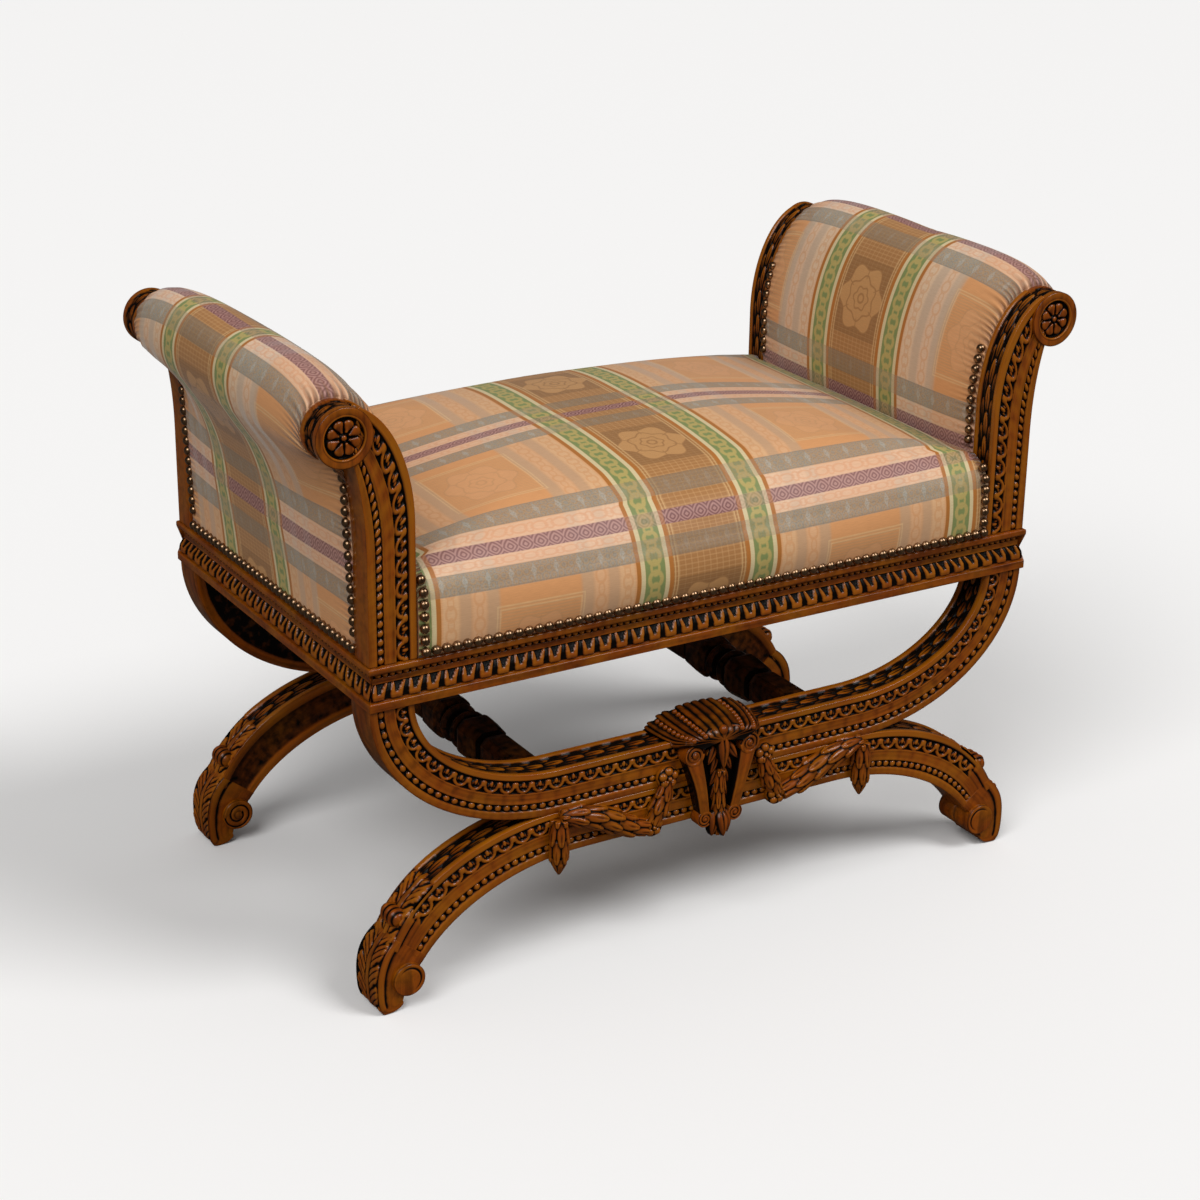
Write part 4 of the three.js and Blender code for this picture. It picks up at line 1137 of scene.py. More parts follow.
def knee_curl():
    """The leaf tip that curls off the knee: an egg across the leg, ribbed along its length."""
    _, over = leg_edges(np.array([ANKLE_ANGLE * 0.88]))
    along, angle = np.meshgrid(np.linspace(-1, 1, 26), circle(28), indexing="ij")
    ribs = 1 + 0.09 * np.cos(along * 4 * np.pi)
    radius = KNEE_CURL_RADIUS * np.sqrt(1 - np.abs(along) ** 5 * 0.97) * ribs
    middle = (FRAME_FACE + FRAME_BACK) / 2
    points = np.stack([
        over[0, 0] + radius * np.cos(angle), -middle + along * 18, over[0, 1] + radius * np.sin(angle),
    ], -1)
    stain = smooth(0.3, 1.0, -np.cos(along * 4 * np.pi)) * 0.9
    return tube(points, stain=stain)


def quadratic(a, b, c, count):
    """Points of the curve that leaves a for b and comes to c from b."""
    t = np.linspace(0, 1, count)[:, None]
    return (1 - t) ** 2 * np.array(a) + 2 * t * (1 - t) * np.array(b) + t ** 2 * np.array(c)


def foot_surface():
    """The rounded toe, swept from the ankle round the volute to the pad on the floor, with acanthus down its
    front, and a volute with a spiral groove on each side."""
    (ankle,), _ = leg_edges(np.array([ANKLE_ANGLE]))
    (under,), (over,) = leg_edges(np.array([ANKLE_ANGLE - math.radians(3)]))
    eye = np.array([ankle[0] + VOLUTE_SET_OUT, VOLUTE_HEIGHT])
    toe_x = ankle[0] + TOE_SET_OUT
    pad_x = ankle[0] + PAD_SET_OUT
    steps = 60
    shin = quadratic(over, (toe_x, 2 * TOE_HEIGHT), (toe_x, TOE_HEIGHT), steps)
    toe = quadratic((toe_x, TOE_HEIGHT), (toe_x, 0), (pad_x + PAD_LENGTH, 0), steps)[1:]
    sole = quadratic((pad_x + PAD_LENGTH, 0), (pad_x + 3, 0), (pad_x - 1, 9), 16)[1:]
    outside = np.concatenate([shin, toe, sole])
    share = np.linspace(0, 1, len(outside))[:, None]
    inside = quadratic(under, eye, (pad_x, 12), len(outside))
    toward = (outside - inside) / np.linalg.norm(outside - inside, axis=1)[:, None]
    along = way_along(outside)[:, None]
    face_shares = np.linspace(0, 1, 26)
    edge_shares = np.linspace(0, 1, 48)
    leafy = 1 - smooth(0.72, 0.82, share)
    widest = FRAME_THICK + 2 * FOOT_PROUD
    edge = acanthus(-along, (edge_shares - 0.5) * widest, widest * 0.5) * 3.4 - 3.0
    edge = edge * leafy * smooth(0, 0.08, share) - 0.5
    side = side_roll(face_shares, 0.03) * leafy * (1 - 0.3 * share)
    proud = FOOT_PROUD * smooth(0, 0.3, share) + 0.05
    reach = FRAME_FACE + proud
    thick = FRAME_THICK + 2 * proud

    def section(line, y):
        return np.stack([line[..., 0], np.broadcast_to(y, line.shape[:2]), line[..., 1]], -1)

    face = inside[:, None] + (outside - inside)[:, None] * face_shares[:, None]
    front = section(face, -reach - side)
    top = section(outside[:, None] + toward[:, None] * edge[..., None], edge_shares * thick - reach)
    back = section(face[:, ::-1], thick - reach + side[:, ::-1])
    points = np.concatenate([front[:, :-1], top[:, :-1], back], 1)
    points[..., 2] = np.maximum(points[..., 2], 0)
    stain = np.concatenate([
        settled(side, 3)[:, :-1], settled(edge + 0.5, 4)[:, :-1], settled(side[:, ::-1], 3),
    ], 1)
    toe_body = tube(points, stain=stain)
    volutes = [
        polar(
            eye[0], eye[1], np.linspace(0.4, VOLUTE_RADIUS, 24), heights,
            depth, -(FRAME_FACE + FRAME_BACK) / 2, 72, facing=facing,
        )
        for facing, depth, heights in (
            (-1, -FRAME_FACE - VOLUTE_PROUD, crescent_heights(VOLUTE_RADIUS)),
            (1, VOLUTE_PROUD - FRAME_BACK, spiral_heights(VOLUTE_RADIUS, 1.6)),
        )
    ]
    return joined([toe_body] + volutes)


def crescent_heights(radius):
    """A plain disc with a crescent cut in it: a groove on part of a circle that thins out to both ends."""

    def heights(r, angle):
        way = (angle / (2 * np.pi) + 0.1) % 1
        long = np.sin(np.pi * np.clip((way - 0.2) / 0.6, 0, 1))
        cut = np.exp(-(((r / radius - 0.74) / (0.035 + 0.03 * long)) ** 2)) * long
        return -1.8 * cut - 0.8 * smooth(0.92, 1, r / radius) ** 2

    return heights


def spiral_heights(radius, deep, turns=1.6, start=0.6):
    """A spiral groove cut in a disc: the groove's radius grows evenly with its angle, and an eye stands in
    the middle."""

    def heights(r, angle):
        swirl = (angle / (2 * np.pi) + start) % 1
        height = np.zeros_like(r)
        for lap in range(2):
            groove = radius * (0.3 + 0.62 * (swirl + lap) / turns)
            cut = np.exp(-(((r - groove) / (0.07 * radius)) ** 2)) * ((swirl + lap) < turns)
            height = height - deep * cut
        eye = 0.9 * deep * dome(r / (0.24 * radius))
        rim = -0.8 * smooth(0.93 * radius, radius, r) ** 2
        return height + eye + rim

    return heights


class BENCH_OT_cradles(bpy.types.Operator):
    """Carves the four halves of the two U-shaped cradles"""

    bl_idname = "bench.cradles"
    bl_label = "Cradles"

    def execute(self, context):
        outer, inner = cradle_edges()
        surface = member(outer, inner, FRAME_THICK, front_heights, edge_heights)
        # Painted shade: the seat's shade over the cradle is painted in as extra stain all over it.
        surface.stain += CRADLE_PAINTED_SHADE
        put_around("cradle", surface)
        return {"FINISHED"}


class BENCH_OT_legs(bpy.types.Operator):
    """Carves the four legs with their knees, shins, toes and volutes"""

    bl_idname = "bench.legs"
    bl_label = "Legs"

    def execute(self, context):
        put_around("leg", leg_surface())
        return {"FINISHED"}


# Arm posts


def post_edges(share):
    """The outer and inner edge lines of a post's curved part. The inner edge is a quarter of an ellipse over
    the scroll, and the outer edge flares as its rise to the power 2.4."""
    turn = share * np.pi / 2
    inner = np.stack([
        SCROLL_X - (SCROLL_X - POST_INNER) * np.cos(turn),
        CURVE_FOOT + POST_CURVE_RISE * np.sin(turn),
    ], -1)
    high = SCROLL_Z - SCROLL_RADIUS * 0.8
    rise = np.minimum(1, share * 1.15)
    outer = np.stack([POST_OUTER + FLARE_REACH * rise ** 2.4, FLARE_START + (high - FLARE_START) * rise], -1)
    return outer, inner


def rosette_heights(r, angle):
    """The scroll's face: a flat rim, and in a dish eight petals round a button. A petal is a drop: its width
    grows with the way out to a round tip, and dark ground shows between the drops."""
    sector = ((angle / (2 * np.pi) * 8) % 1 - 0.5) * (2 * np.pi / 8)
    across, out = r * np.sin(sector), r * np.cos(sector)
    wide = 1.3 + 4.9 * smooth(5.0, 15.5, out)
    tip = np.maximum(0, out - 14.6)
    root = smooth(4.2, 6.5, out)
    petal = dome(np.hypot(across / wide, tip / 5.2)) ** 0.8 * root
    button = dome(r / 3.9)
    inside = np.maximum(petal * (4.0 + 0.8 * smooth(8, 16, out)), button * 4.4) - 4.9
    rim = -0.9 * smooth(30.2, 32.0, r) ** 2 - 0.5 * np.exp(-(((r - 24.6) / 0.7) ** 2))
    edge = smooth(21.4, 22.8, r)
    return inside * (1 - edge) + rim * edge


def scroll_head():
    """The scroll: a disc with its rosette, and round its drum a channel of laurel between two fillets."""

    def drum(far, angle):
        inside = smooth(0.2, 0.26, far) * (1 - smooth(0.74, 0.8, far))
        around = angle * SCROLL_RADIUS
        x, pitch = repeats(around, 2 * np.pi * SCROLL_RADIUS, 22.0)
        leaves = laurel_row(x, (far - 0.5) * POST_THICK, pitch, POST_THICK * 0.3)
        rim = -0.8 * (1 - smooth(0, 0.03, far)) - 0.8 * smooth(0.97, 1, far)
        return rim - inside * (3.2 - 3.0 * np.clip(leaves, 0, 1))

    rim = [24, 24.6, 25.4, 28, 30, 31, SCROLL_RADIUS]
    radii = np.concatenate([np.linspace(0.3, 21, 27), np.linspace(21.4, 23, 4), rim])
    face = -FRAME_FACE - SCROLL_PROUD
    return polar(SCROLL_X, SCROLL_Z, radii, rosette_heights, face, -POST_BACK, 176, drum, side_steps=30)


class BENCH_OT_posts(bpy.types.Operator):
    """Carves the four arm posts and their scrolls"""

    bl_idname = "bench.posts"
    bl_label = "Arm posts"

    def execute(self, context):
        foot = RAIL_TOP + 0.3
        rise = np.linspace(0, 1, stations(FLARE_START - foot))[:-1, None]
        share = np.linspace(0, POST_END_SHARE, stations(POST_CURVE_LENGTH))
        outer, inner = (
            np.concatenate([np.array([[x, foot]]) * (1 - rise) + line[:1] * rise, line])
            for x, line in zip((POST_OUTER, POST_INNER), post_edges(share))
        )
        body = member(outer, inner, POST_THICK, front_heights, edge_heights, back_panel=0)
        put_around("post", joined([body, scroll_head()]))
        return {"FINISHED"}


# Rails


def rail_profile():
    """The face of a rail from its foot to its top: how far in each point lies, and its height. Straight lines
    join the corners of the moulding."""
    corners = np.array([
        (0.6, 361.0), (0, 361.6), (0, 370.2), (0.5, 370.8), (3.4, 371.4), (3.6, 372.4), (0.9, 373.6),
        (1.0, 377.0), (2.0, 381.5), (4.6, 386.0), (6.3, 389.2), (6.5, 390.0), (6.5, 395.8), (6.8, 396.4),
        (9.4, 396.9), (9.4, 401.6), (2.2, 402.2), (0.8, 402.9), (0, 404.2), (0, 408.0), (0.5, 409.4),
        (1.6, 410.0),
    ])
    ways = way_along(corners)
    return spread_along(corners, np.unique(np.concatenate([ways, np.arange(0, ways[-1], 0.95)]))).T


def rail_surface(length, depth):
    """A moulded rail along X at the front, mitred at its ends: each line of the face stops as far in from the
    end as it lies behind the face. Upright leaves stand on its ogee and long darts lie in its groove."""
    inset, height = rail_profile()
    settings = wood_settings()
    count = int(length / (settings.carving_step / MM))
    share = np.linspace(-1, 1, count + count % 2 + 1)[:, None]
    way = share * length / 2 + length / 2
    leaf_x, leaf_pitch = repeats(way, length, settings.rail_leaf_pitch / MM)
    dart_x, dart_pitch = repeats(way, length, settings.dart_pitch / MM)
    rise = (height - OGEE_FOOT) / (OGEE_TOP - OGEE_FOOT)
    on_ogee = smooth(-0.06, 0.02, rise) * (1 - smooth(0.97, 1.02, rise))
    leaves = ogee_leaves(leaf_x, np.clip(rise, 0, 1)[None, :], leaf_pitch)
    in_groove = smooth(396.4, 397.2, height) * (1 - smooth(401.2, 402.0, height))
    darts = dome(np.hypot(dart_x / (0.4 * dart_pitch), (height - DART_HEIGHT) / 3.1)) ** 0.6
    relief = on_ogee * (3.4 * leaves - 2.9) + in_groove * 5.4 * darts
    stain = settled(relief - inset * 0.2, 4)
    between = on_ogee * (np.abs(leaf_x) > 0.42 * leaf_pitch) * (leaves < 0.5)
    stain = np.minimum(stain + 0.75 * in_groove * (1.1 - darts) + 0.5 * between, 1)
    back = ((0, 0), (0, 4))
    inset = np.concatenate([inset, np.array([0.5, 1, 1, 0.5]) * RAIL_THICK])
    height = np.concatenate([height, [RAIL_TOP, RAIL_TOP, RAIL_BOTTOM, RAIL_BOTTOM]])
    x = share * (length / 2 - inset)
    y = inset - depth / 2 - np.pad(relief, back)
    return tube(np.stack(np.broadcast_arrays(x, y, height), -1), stain=np.pad(stain, back))


class BENCH_OT_rails(bpy.types.Operator):
    """Carves the four moulded seat rails"""

    bl_idname = "bench.rails"
    bl_label = "Seat rails"

    def execute(self, context):
        long_rail = rail_surface(2 * HALF_LENGTH, 2 * HALF_DEPTH)
        put_wood("front_rail", long_rail)
        put_wood("rear_rail", long_rail.half_turned())
        end_rail = rail_surface(side_high[1] - side_low[1], 2 * side_high[0])
        quarter = end_rail.moved(end_rail.points[:, [1, 0, 2]] * [-1, 1, 1])
        put_wood("right_rail", quarter)
        put_wood("left_rail", quarter.half_turned())
        return {"FINISHED"}


# Stretchers


def stretcher_surface():
    """A stretcher along Y: a turned reel in the middle with a bold ring on each side of it, a faceted
    swelling beyond each ring and square blocks with cut corners at the ends. The section goes from a circle
    to a square with its corners cut, by the share that each station gives."""
    end = FRAME_BACK - 0.3
    # How far from the middle, half the thickness, and the share of the square
    profile = np.array([
        (0, 15.5, 0), (5, 16, 0), (7, 20, 0), (9, 23.6, 0), (12, 24.5, 0), (15, 23.6, 0), (17, 19, 0),
        (19, 17.5, 0), (21, 18.5, 0.2), (23, 20.5, 0.8), (26, 23, 1), (31, 24, 1), (45, 23.4, 1),
        (58, 22.2, 1), (64, 21.6, 1), (66, 18.2, 0.6), (68, 17, 0), (71, 17, 0), (73, 17.2, 0.6),
        (76, 18.8, 1), (84, 20, 1), (140, 20, 1), (end, 20, 1),
    ])
    fine = np.unique(np.concatenate([profile[:, 0], np.arange(90.0), np.arange(90, end, 6)]))
    half, square = (np.interp(fine, profile[:, 0], values) for values in profile.T[1:])
    y, half, square = (
        np.concatenate([sign * line[:0:-1], line])[:, None]
        for sign, line in ((-1, fine), (1, half), (1, square))
    )
    turn = circle(48)[None, :]
    cos, sin = np.abs(np.cos(turn)), np.abs(np.sin(turn))
    box = 1 / np.maximum.reduce([cos, sin, (cos + sin) / 1.6])
    reach = half * (1 + square * (box - 1))
    points = np.stack(np.broadcast_arrays(reach * np.cos(turn), y, reach * np.sin(turn)), -1)
    dip = box_mean(half, 4, 0) - half
    # Painted shade under the seat: a stain of 0.42 lies all over the stretchers, and more stain settles where
    # the profile dips.
    stain = np.broadcast_to(np.clip(0.42 + smooth(0.0, 1.6, dip), 0, 1), reach.shape)
    return tube(points + [STRETCHER_X, 0, MEET], stain=stain)


class BENCH_OT_stretchers(bpy.types.Operator):
    """Turns and facets the two stretchers between the X frames"""

    bl_idname = "bench.stretchers"
    bl_label = "Stretchers"

    def execute(self, context):
        surface = stretcher_surface()
        put_wood("right_stretcher", surface, crease=32)
        put_wood("left_stretcher", surface.half_turned(), crease=32)
        return {"FINISHED"}


# Boss and swags


def leaf_solid(length, width, thick, rows=9, cols=7):
    """One laurel leaf along X from its stalk, in its own frame: a lens whose width follows a sine, arched
    across, with a midrib cut along the top."""
    t = np.linspace(0.02, 0.995, rows)[:, None]
    s = np.linspace(-1, 1, cols)[None, :]
    y = width / 2 * np.sin(np.pi * t ** 0.75) ** 0.75 * s
    lift = thick * (0.35 + 0.65 * np.sin(np.pi * t ** 0.9)) * (1 - 0.55 * s ** 2)
    rib = thick * 0.34 * np.exp(-((s / 0.16) ** 2))
    top = np.stack(np.broadcast_arrays(length * t, y, lift - rib), -1)
    under = np.stack(np.broadcast_arrays(length * t, y * 0.98, -thick * 0.5), -1)
    dark = 0.9 * np.exp(-((s / 0.14) ** 2)) * (1 - t * 0.5) + 0.9 * smooth(0.72, 1.0, np.abs(s))
    dark = np.clip(np.clip(dark, 0, 1) + 0.8 * (1 - smooth(0.0, 0.22, t)), 0, 1)
    stain = np.concatenate([dark, np.ones_like(dark)], 1)
    return tube(np.concatenate([top, under[:, ::-1]], 1), stain=stain)


def placed(surface, origin, forward, up):
    """A surface moved from its own frame to a place: its X along forward, its Z towards up."""
    forward = np.array(forward, float) / np.linalg.norm(forward)
    side = np.cross(up, forward)
    side /= np.linalg.norm(side)
    basis = np.stack([forward, side, np.cross(forward, side)])
    return surface.moved(surface.points @ basis + np.array(origin))


def curve_through(points, count):
    """Places and directions along a smooth curve through points: a Catmull-Rom spline, in even steps."""
    p = np.array(points, float)
    p = np.concatenate([[2 * p[0] - p[1]], p, [2 * p[-1] - p[-2]]])
    t = np.linspace(0, len(points) - 1 - 1e-9, 400)
    k = t.astype(int)
    f = (t - k)[:, None]
    a, b, c, d = p[k], p[k + 1], p[k + 2], p[k + 3]
    line = b + 0.5 * (
        (c - a) * f + (2 * a - 5 * b + 4 * c - d) * f ** 2 + (3 * b - a - 3 * c + d) * f ** 3
    )
    places = spread_along(line, np.linspace(0, way_along(line)[-1], count))
    directions = np.gradient(places, axis=0)
    return places, directions / np.linalg.norm(directions, axis=1)[:, None]


def tongues(along, angle, tier, sectors):
    """Overlapping leaves round a rope, from 0 to 1: each tier has a leaf in every sector, its point lies over
    the next tier, and the next tier is turned by half a sector. A leaf is round across, rises towards its
    point and has a dark slot on each side."""
    count = np.floor(along / tier)
    height = np.zeros(np.broadcast(along, angle).shape)
    for back in (0, 1):
        number = count - back
        t = (along - number * tier) / (1.32 * tier)
        turned = angle / (2 * np.pi) * sectors + 0.5 * (number % 2)
        across = np.abs(turned % 1 - 0.5) * 2
        reach = 0.95 * np.clip(1 - np.maximum(t - 0.55, 0) / 0.45, 0, 1) ** 0.42
        rib = 1 - 0.36 * np.exp(-((across / 0.13) ** 2)) * smooth(0.25, 0.6, t)
        body = dome(across / (reach + 1e-3)) ** 0.8 * (0.4 + 0.6 * smooth(0, 0.85, t)) * (t < 1) * rib
        height = np.maximum(height, body * (1 if back else 0.92))
    return height


def garland(line_points, radii, tier, lift=SWAG_LIFT, sectors=6, turn_share=0.25):
    """A rope of laurel along a line on the frame's face, from the roots of its leaves to their points. The
    rope is a tube whose radius grows with the height of the leaves."""
    total = way_along(np.array(line_points, float))[-1]
    count = int(total / ROPE_STEP)
    line, way = curve_through(line_points, count)
    along = np.linspace(0, total, count)[:, None]
    turn = circle(84)[None, :]
    tiers = total / max(1, round(total / tier)) + 1e-6
    height = tongues(along, turn + 2 * np.pi / sectors * turn_share, tiers, sectors)
    radius = np.interp(along, np.linspace(0, total, len(radii)), radii)
    deep = np.minimum(4.6, radius * 0.38)
    wide = radius - deep * (1 - height)
    ring = np.stack([
        line[:, :1] - way[:, 1:] * wide * np.cos(turn),
        -FRAME_FACE - lift - wide * np.sin(turn),
        line[:, 1:] + way[:, :1] * wide * np.cos(turn),
    ], -1)
    ring[..., 1] = np.minimum(ring[..., 1], -FRAME_FACE + 2.5)
    return tube(ring, stain=np.minimum(settled(height * 3.4, 4) + 0.5 * (height < 0.3), 1))


def blossom(x, z, radius, petals, depth):
    """A flower on the frame's face: round domed petals about a button."""

    def heights(r, angle):
        petal = np.zeros_like(r)
        for k in range(petals):
            at = 2 * np.pi * (k + 0.25) / petals
            x_away = r * np.cos(angle) - 0.58 * radius * np.cos(at)
            z_away = r * np.sin(angle) - 0.58 * radius * np.sin(at)
            petal = np.maximum(petal, dome(np.hypot(x_away, z_away) / (0.4 * radius)))
        return depth * np.maximum(petal * 0.9, 1.25 * dome(r / (radius * 0.26)))

    base = -FRAME_FACE - SWAG_LIFT - 2
    return polar(x, z, np.linspace(0.3, radius, 20), heights, base, -FRAME_FACE + 1, 80, side_steps=3)


def swag_surface():
    """A swag: a knot flower, husks that hang to the dip, a flower there, laurel that comes down to it from
    the corner, and a tail that hangs from the corner to a point."""
    tail = [(TAIL_X - 1, 184), (TAIL_X, 165), (TAIL_X, 142), (TAIL_X, 117)]
    return joined([
        garland([(65, 200), (70, 182), (77, 165), (84, 150)], [9, 12, 13, 10], 19, sectors=5),
        garland([(203, 187), (184, 184), (152, 174), (118, 156), (92, 147)], [9, 14.5, 16, 16, 14.5, 11], 22),
        garland(tail, [11, 13.3, 13.5, 13, 11, 1.5], 26),
        blossom(65, 203, 13, 5, 5.5),
        blossom(84, 147, 12.5, 5, 5.5),
    ])


def strap_surface():
    """A strap of the boss: a smooth band that tapers from its curl down to its ball, eased at its edges, with
    a spiral on the curl and on the ball."""
    front = -FRAME_FACE - BOSS_PROUD - STRAP_THICK
    curl = np.array([BOSS_TOP_HALF - 9, CRADLE_TOP - CURL_RADIUS * 1.15])
    foot = np.array([BOSS_FOOT_HALF - BALL_RADIUS * 0.5, BOSS_FOOT + BALL_RADIUS * 3])
    t = np.linspace(0, 1, 60)[:, None]
    s = np.linspace(0, 1, 17)[None, :]
    bow = np.array([2.0, 0]) * np.sin(np.pi * t)
    right = (curl + [CURL_RADIUS, 0]) * (1 - t) + (foot + [6, 0]) * t - bow
    left = (curl - [CURL_RADIUS * 0.8, 0]) * (1 - t) + (foot - [6.5, 0]) * t
    x, z = (left[:, k:k + 1] * (1 - s) + right[:, k:k + 1] * s for k in (0, 1))
    lip = np.broadcast_to(-2.4 * (1 - dome(2 * s - 1) ** 0.35), x.shape)
    face = np.stack([x, front - lip - 2.5 * np.sin(np.pi * t), z], -1)
    back = np.stack([x, np.full_like(x, BEHIND), z], -1)
    stain = np.concatenate([settled(lip, 3) * 0.8, np.ones_like(x)], 1)
    band = tube(np.concatenate([face, back[:, ::-1]], 1), stain=stain)
    volute = polar(
        curl[0], curl[1], np.linspace(0.3, CURL_RADIUS, 20), spiral_heights(CURL_RADIUS, 1.8, start=0.1),
        front - 1.5, BEHIND, 64,
    )
    drum = polar(
        foot[0], foot[1] - BALL_RADIUS / 2, np.linspace(0.3, BALL_RADIUS, 14),
        spiral_heights(BALL_RADIUS, 1.3, start=0.4), front - 0.5, BEHIND, 44,
    )
    return joined([band, volute, drum])


def boss_surface():
    """The boss of a frame: a tapered plate, a strap down each side, between them two small scrolls, drooping
    leaves and a rope of husks that ends in a tongue, and over them the reeded cap."""
    base = -FRAME_FACE - BOSS_PROUD
    t = np.linspace(0, 1, 40)[:, None]
    s = np.linspace(-1, 1, 25)[None, :]
    half = BOSS_TOP_HALF * (1 - t) + BOSS_FOOT_HALF * 0.6 * t
    half = half * np.sqrt(np.clip(1 - smooth(0.82, 1.0, t) * 0.97, 0.01, 1))
    z = CRADLE_TOP + CAP_LIP + 2 - (CRADLE_TOP + CAP_LIP - BOSS_FOOT) * t
    face, back = (np.stack(np.broadcast_arrays(half * s, y, z), -1) for y in (base, BEHIND))
    plate = np.concatenate([face, back[:, ::-1]], 1)
    rope = [(0, 200), (0, 180), (0, 160), (0, 140), (0, BOSS_FOOT + 1)]
    pieces = [
        tube(plate, stain=np.full(plate.shape[:2], 0.8)),
        garland(rope, [8, 9, 9, 9.5, 10.5, 7], 20, 11, 6, 0),
    ]
    for side in (-1, 1):
        for x, z, length, width, way, thick in (
            (6, 236, 28, 12, (0.5, -0.25, -0.85), 5), (4, 222, 26, 10, (0.42, -0.15, -1), 5),
            (8, 250, 22, 12, (0.85, -0.3, -0.1), 4.5), (3, 204, 24, 9, (0.42, 0, -1), 4.5),
            (3, 186, 22, 8, (0.4, 0, -1), 4), (3, 168, 20, 7, (0.36, 0, -1), 4),
        ):
            way = (side * way[0], way[1], way[2])
            leaf = leaf_solid(length, width, thick)
            pieces.append(placed(leaf, (side * x, base - 1.5, z), way, (0, -1, 0)))
        for x, z, radius in ((15, 242, 8.5), (13, 224, 6.5)):
            pieces.append(polar(
                side * x, z, np.linspace(0.3, radius, 14), spiral_heights(radius, 1.8, 1.5, start=0.3),
                base - 6.5, BEHIND, 44,
            ))
    crest = leaf_solid(46, 17, 8, rows=16, cols=11)
    pieces.append(placed(crest, (0, base - 5, 250), (0, -0.12, -1), (0, -1, -0.2)))
    pieces.append(ball((0, base - 9, 252), (5, 5.5, 6)))
    tongue = leaf_solid(32, 16, 9, rows=14, cols=11)
    for x, lift, way in ((-5.5, 2, (-0.16, -0.1, -1)), (5.5, 2, (0.16, -0.1, -1)), (0, 6, (0, -0.25, -1))):
        pieces.append(placed(tongue, (x, base - lift, BOSS_FOOT + 33), way, (0, -1, -0.1)))
    right = strap_surface()
    return joined(pieces + [right, right.mirrored(), cap_surface()])


def cap_place(turn, share):
    """A point of the cap's arch: half an ellipse across, whose width and rise grow as the quarter sine of
    the way back."""
    swell = np.sin(share * np.pi / 2)
    half = CAP_FRONT_HALF + (CAP_BACK_HALF - CAP_FRONT_HALF) * swell
    foot = CRADLE_TOP + CAP_LIP - (CAP_DROP / 2 + CAP_LIP) * smooth(0, 0.5, share)
    top = CRADLE_TOP + (CAP_TOP - CRADLE_TOP) * (0.34 + 0.66 * swell ** 0.8)
    y = share ** 1.4 * (CAP_PROUD + FRAME_THICK) - FRAME_FACE - CAP_PROUD
    rise = np.sin(turn) ** 0.7
    return np.stack(np.broadcast_arrays(half * np.cos(turn), y, foot + (top - foot) * rise), -1)


def cap_surface():
    """The cap: reeds that run from its back to its front lip, where they crowd together, with rows of pearls
    in four of the lanes, and a hollow over the cradle."""
    turn = np.linspace(0.001, np.pi - 0.001, 241)[None, :]
    share = np.linspace(0, 1, 48)[:, None]
    lane = (turn + 0.1 * np.sin(2 * turn) * (1 - share)) / np.pi * CAP_REEDS
    reeds = np.where(np.isin(np.floor(lane), PEARL_LANES), 0.1, dome((lane % 1 - 0.5) * 2) ** 0.7)
    outer = cap_place(turn, share)
    centre = np.stack(np.broadcast_arrays(0.0, outer[..., 1], CRADLE_TOP - CAP_DROP), -1)
    scale = (0.91 + 0.09 * reeds) * (1 - 0.06 * (1 - smooth(0, 0.14, share)))
    outer = centre + (outer - centre) * np.stack([scale, np.ones_like(scale), scale], -1)
    inner = centre + (outer - centre) * np.array([0.6, 1, 0.5])
    room = CRADLE_TOP + 0.4
    over = outer[..., 1] > BEHIND
    outer[..., 2] = np.where(over, np.maximum(outer[..., 2], room), outer[..., 2])
    inner[..., 2] = np.where(over, room, np.minimum(inner[..., 2], room))
    stain = np.concatenate([np.clip(1.36 - 1.15 * reeds, 0.15, 1), np.ones_like(reeds)], 1)
    pieces = [tube(np.concatenate([outer, inner[:, ::-1]], 1), stain=stain)]
    for lane in PEARL_LANES:
        for share in 0.08 + 0.84 * np.arange(10) / 9:
            angle = (lane + 0.5) / CAP_REEDS * np.pi
            angle -= 0.1 * np.sin(2 * angle) * (1 - share)
            at = cap_place(angle, share)
            at = at + (np.array([0, at[1], CRADLE_TOP - CAP_DROP]) - at) * 0.07
            pieces.append(ball(at, (3.2, 3.0, 3.2), tall=8, around=12))
    return joined(pieces)


class BENCH_OT_boss(bpy.types.Operator):
    """Carves the boss in the middle of each X frame"""

    bl_idname = "bench.boss"
    bl_label = "Bosses"

    def execute(self, context):
        surface = boss_surface()
        put_wood("front_boss", surface)
        put_wood("rear_boss", surface.half_turned())
        return {"FINISHED"}


class BENCH_OT_swags(bpy.types.Operator):
    """Carves the four laurel swags beside the bosses"""

    bl_idname = "bench.swags"
    bl_label = "Swags"

    def execute(self, context):
        put_around("swag", swag_surface())
        return {"FINISHED"}


# Upholstery


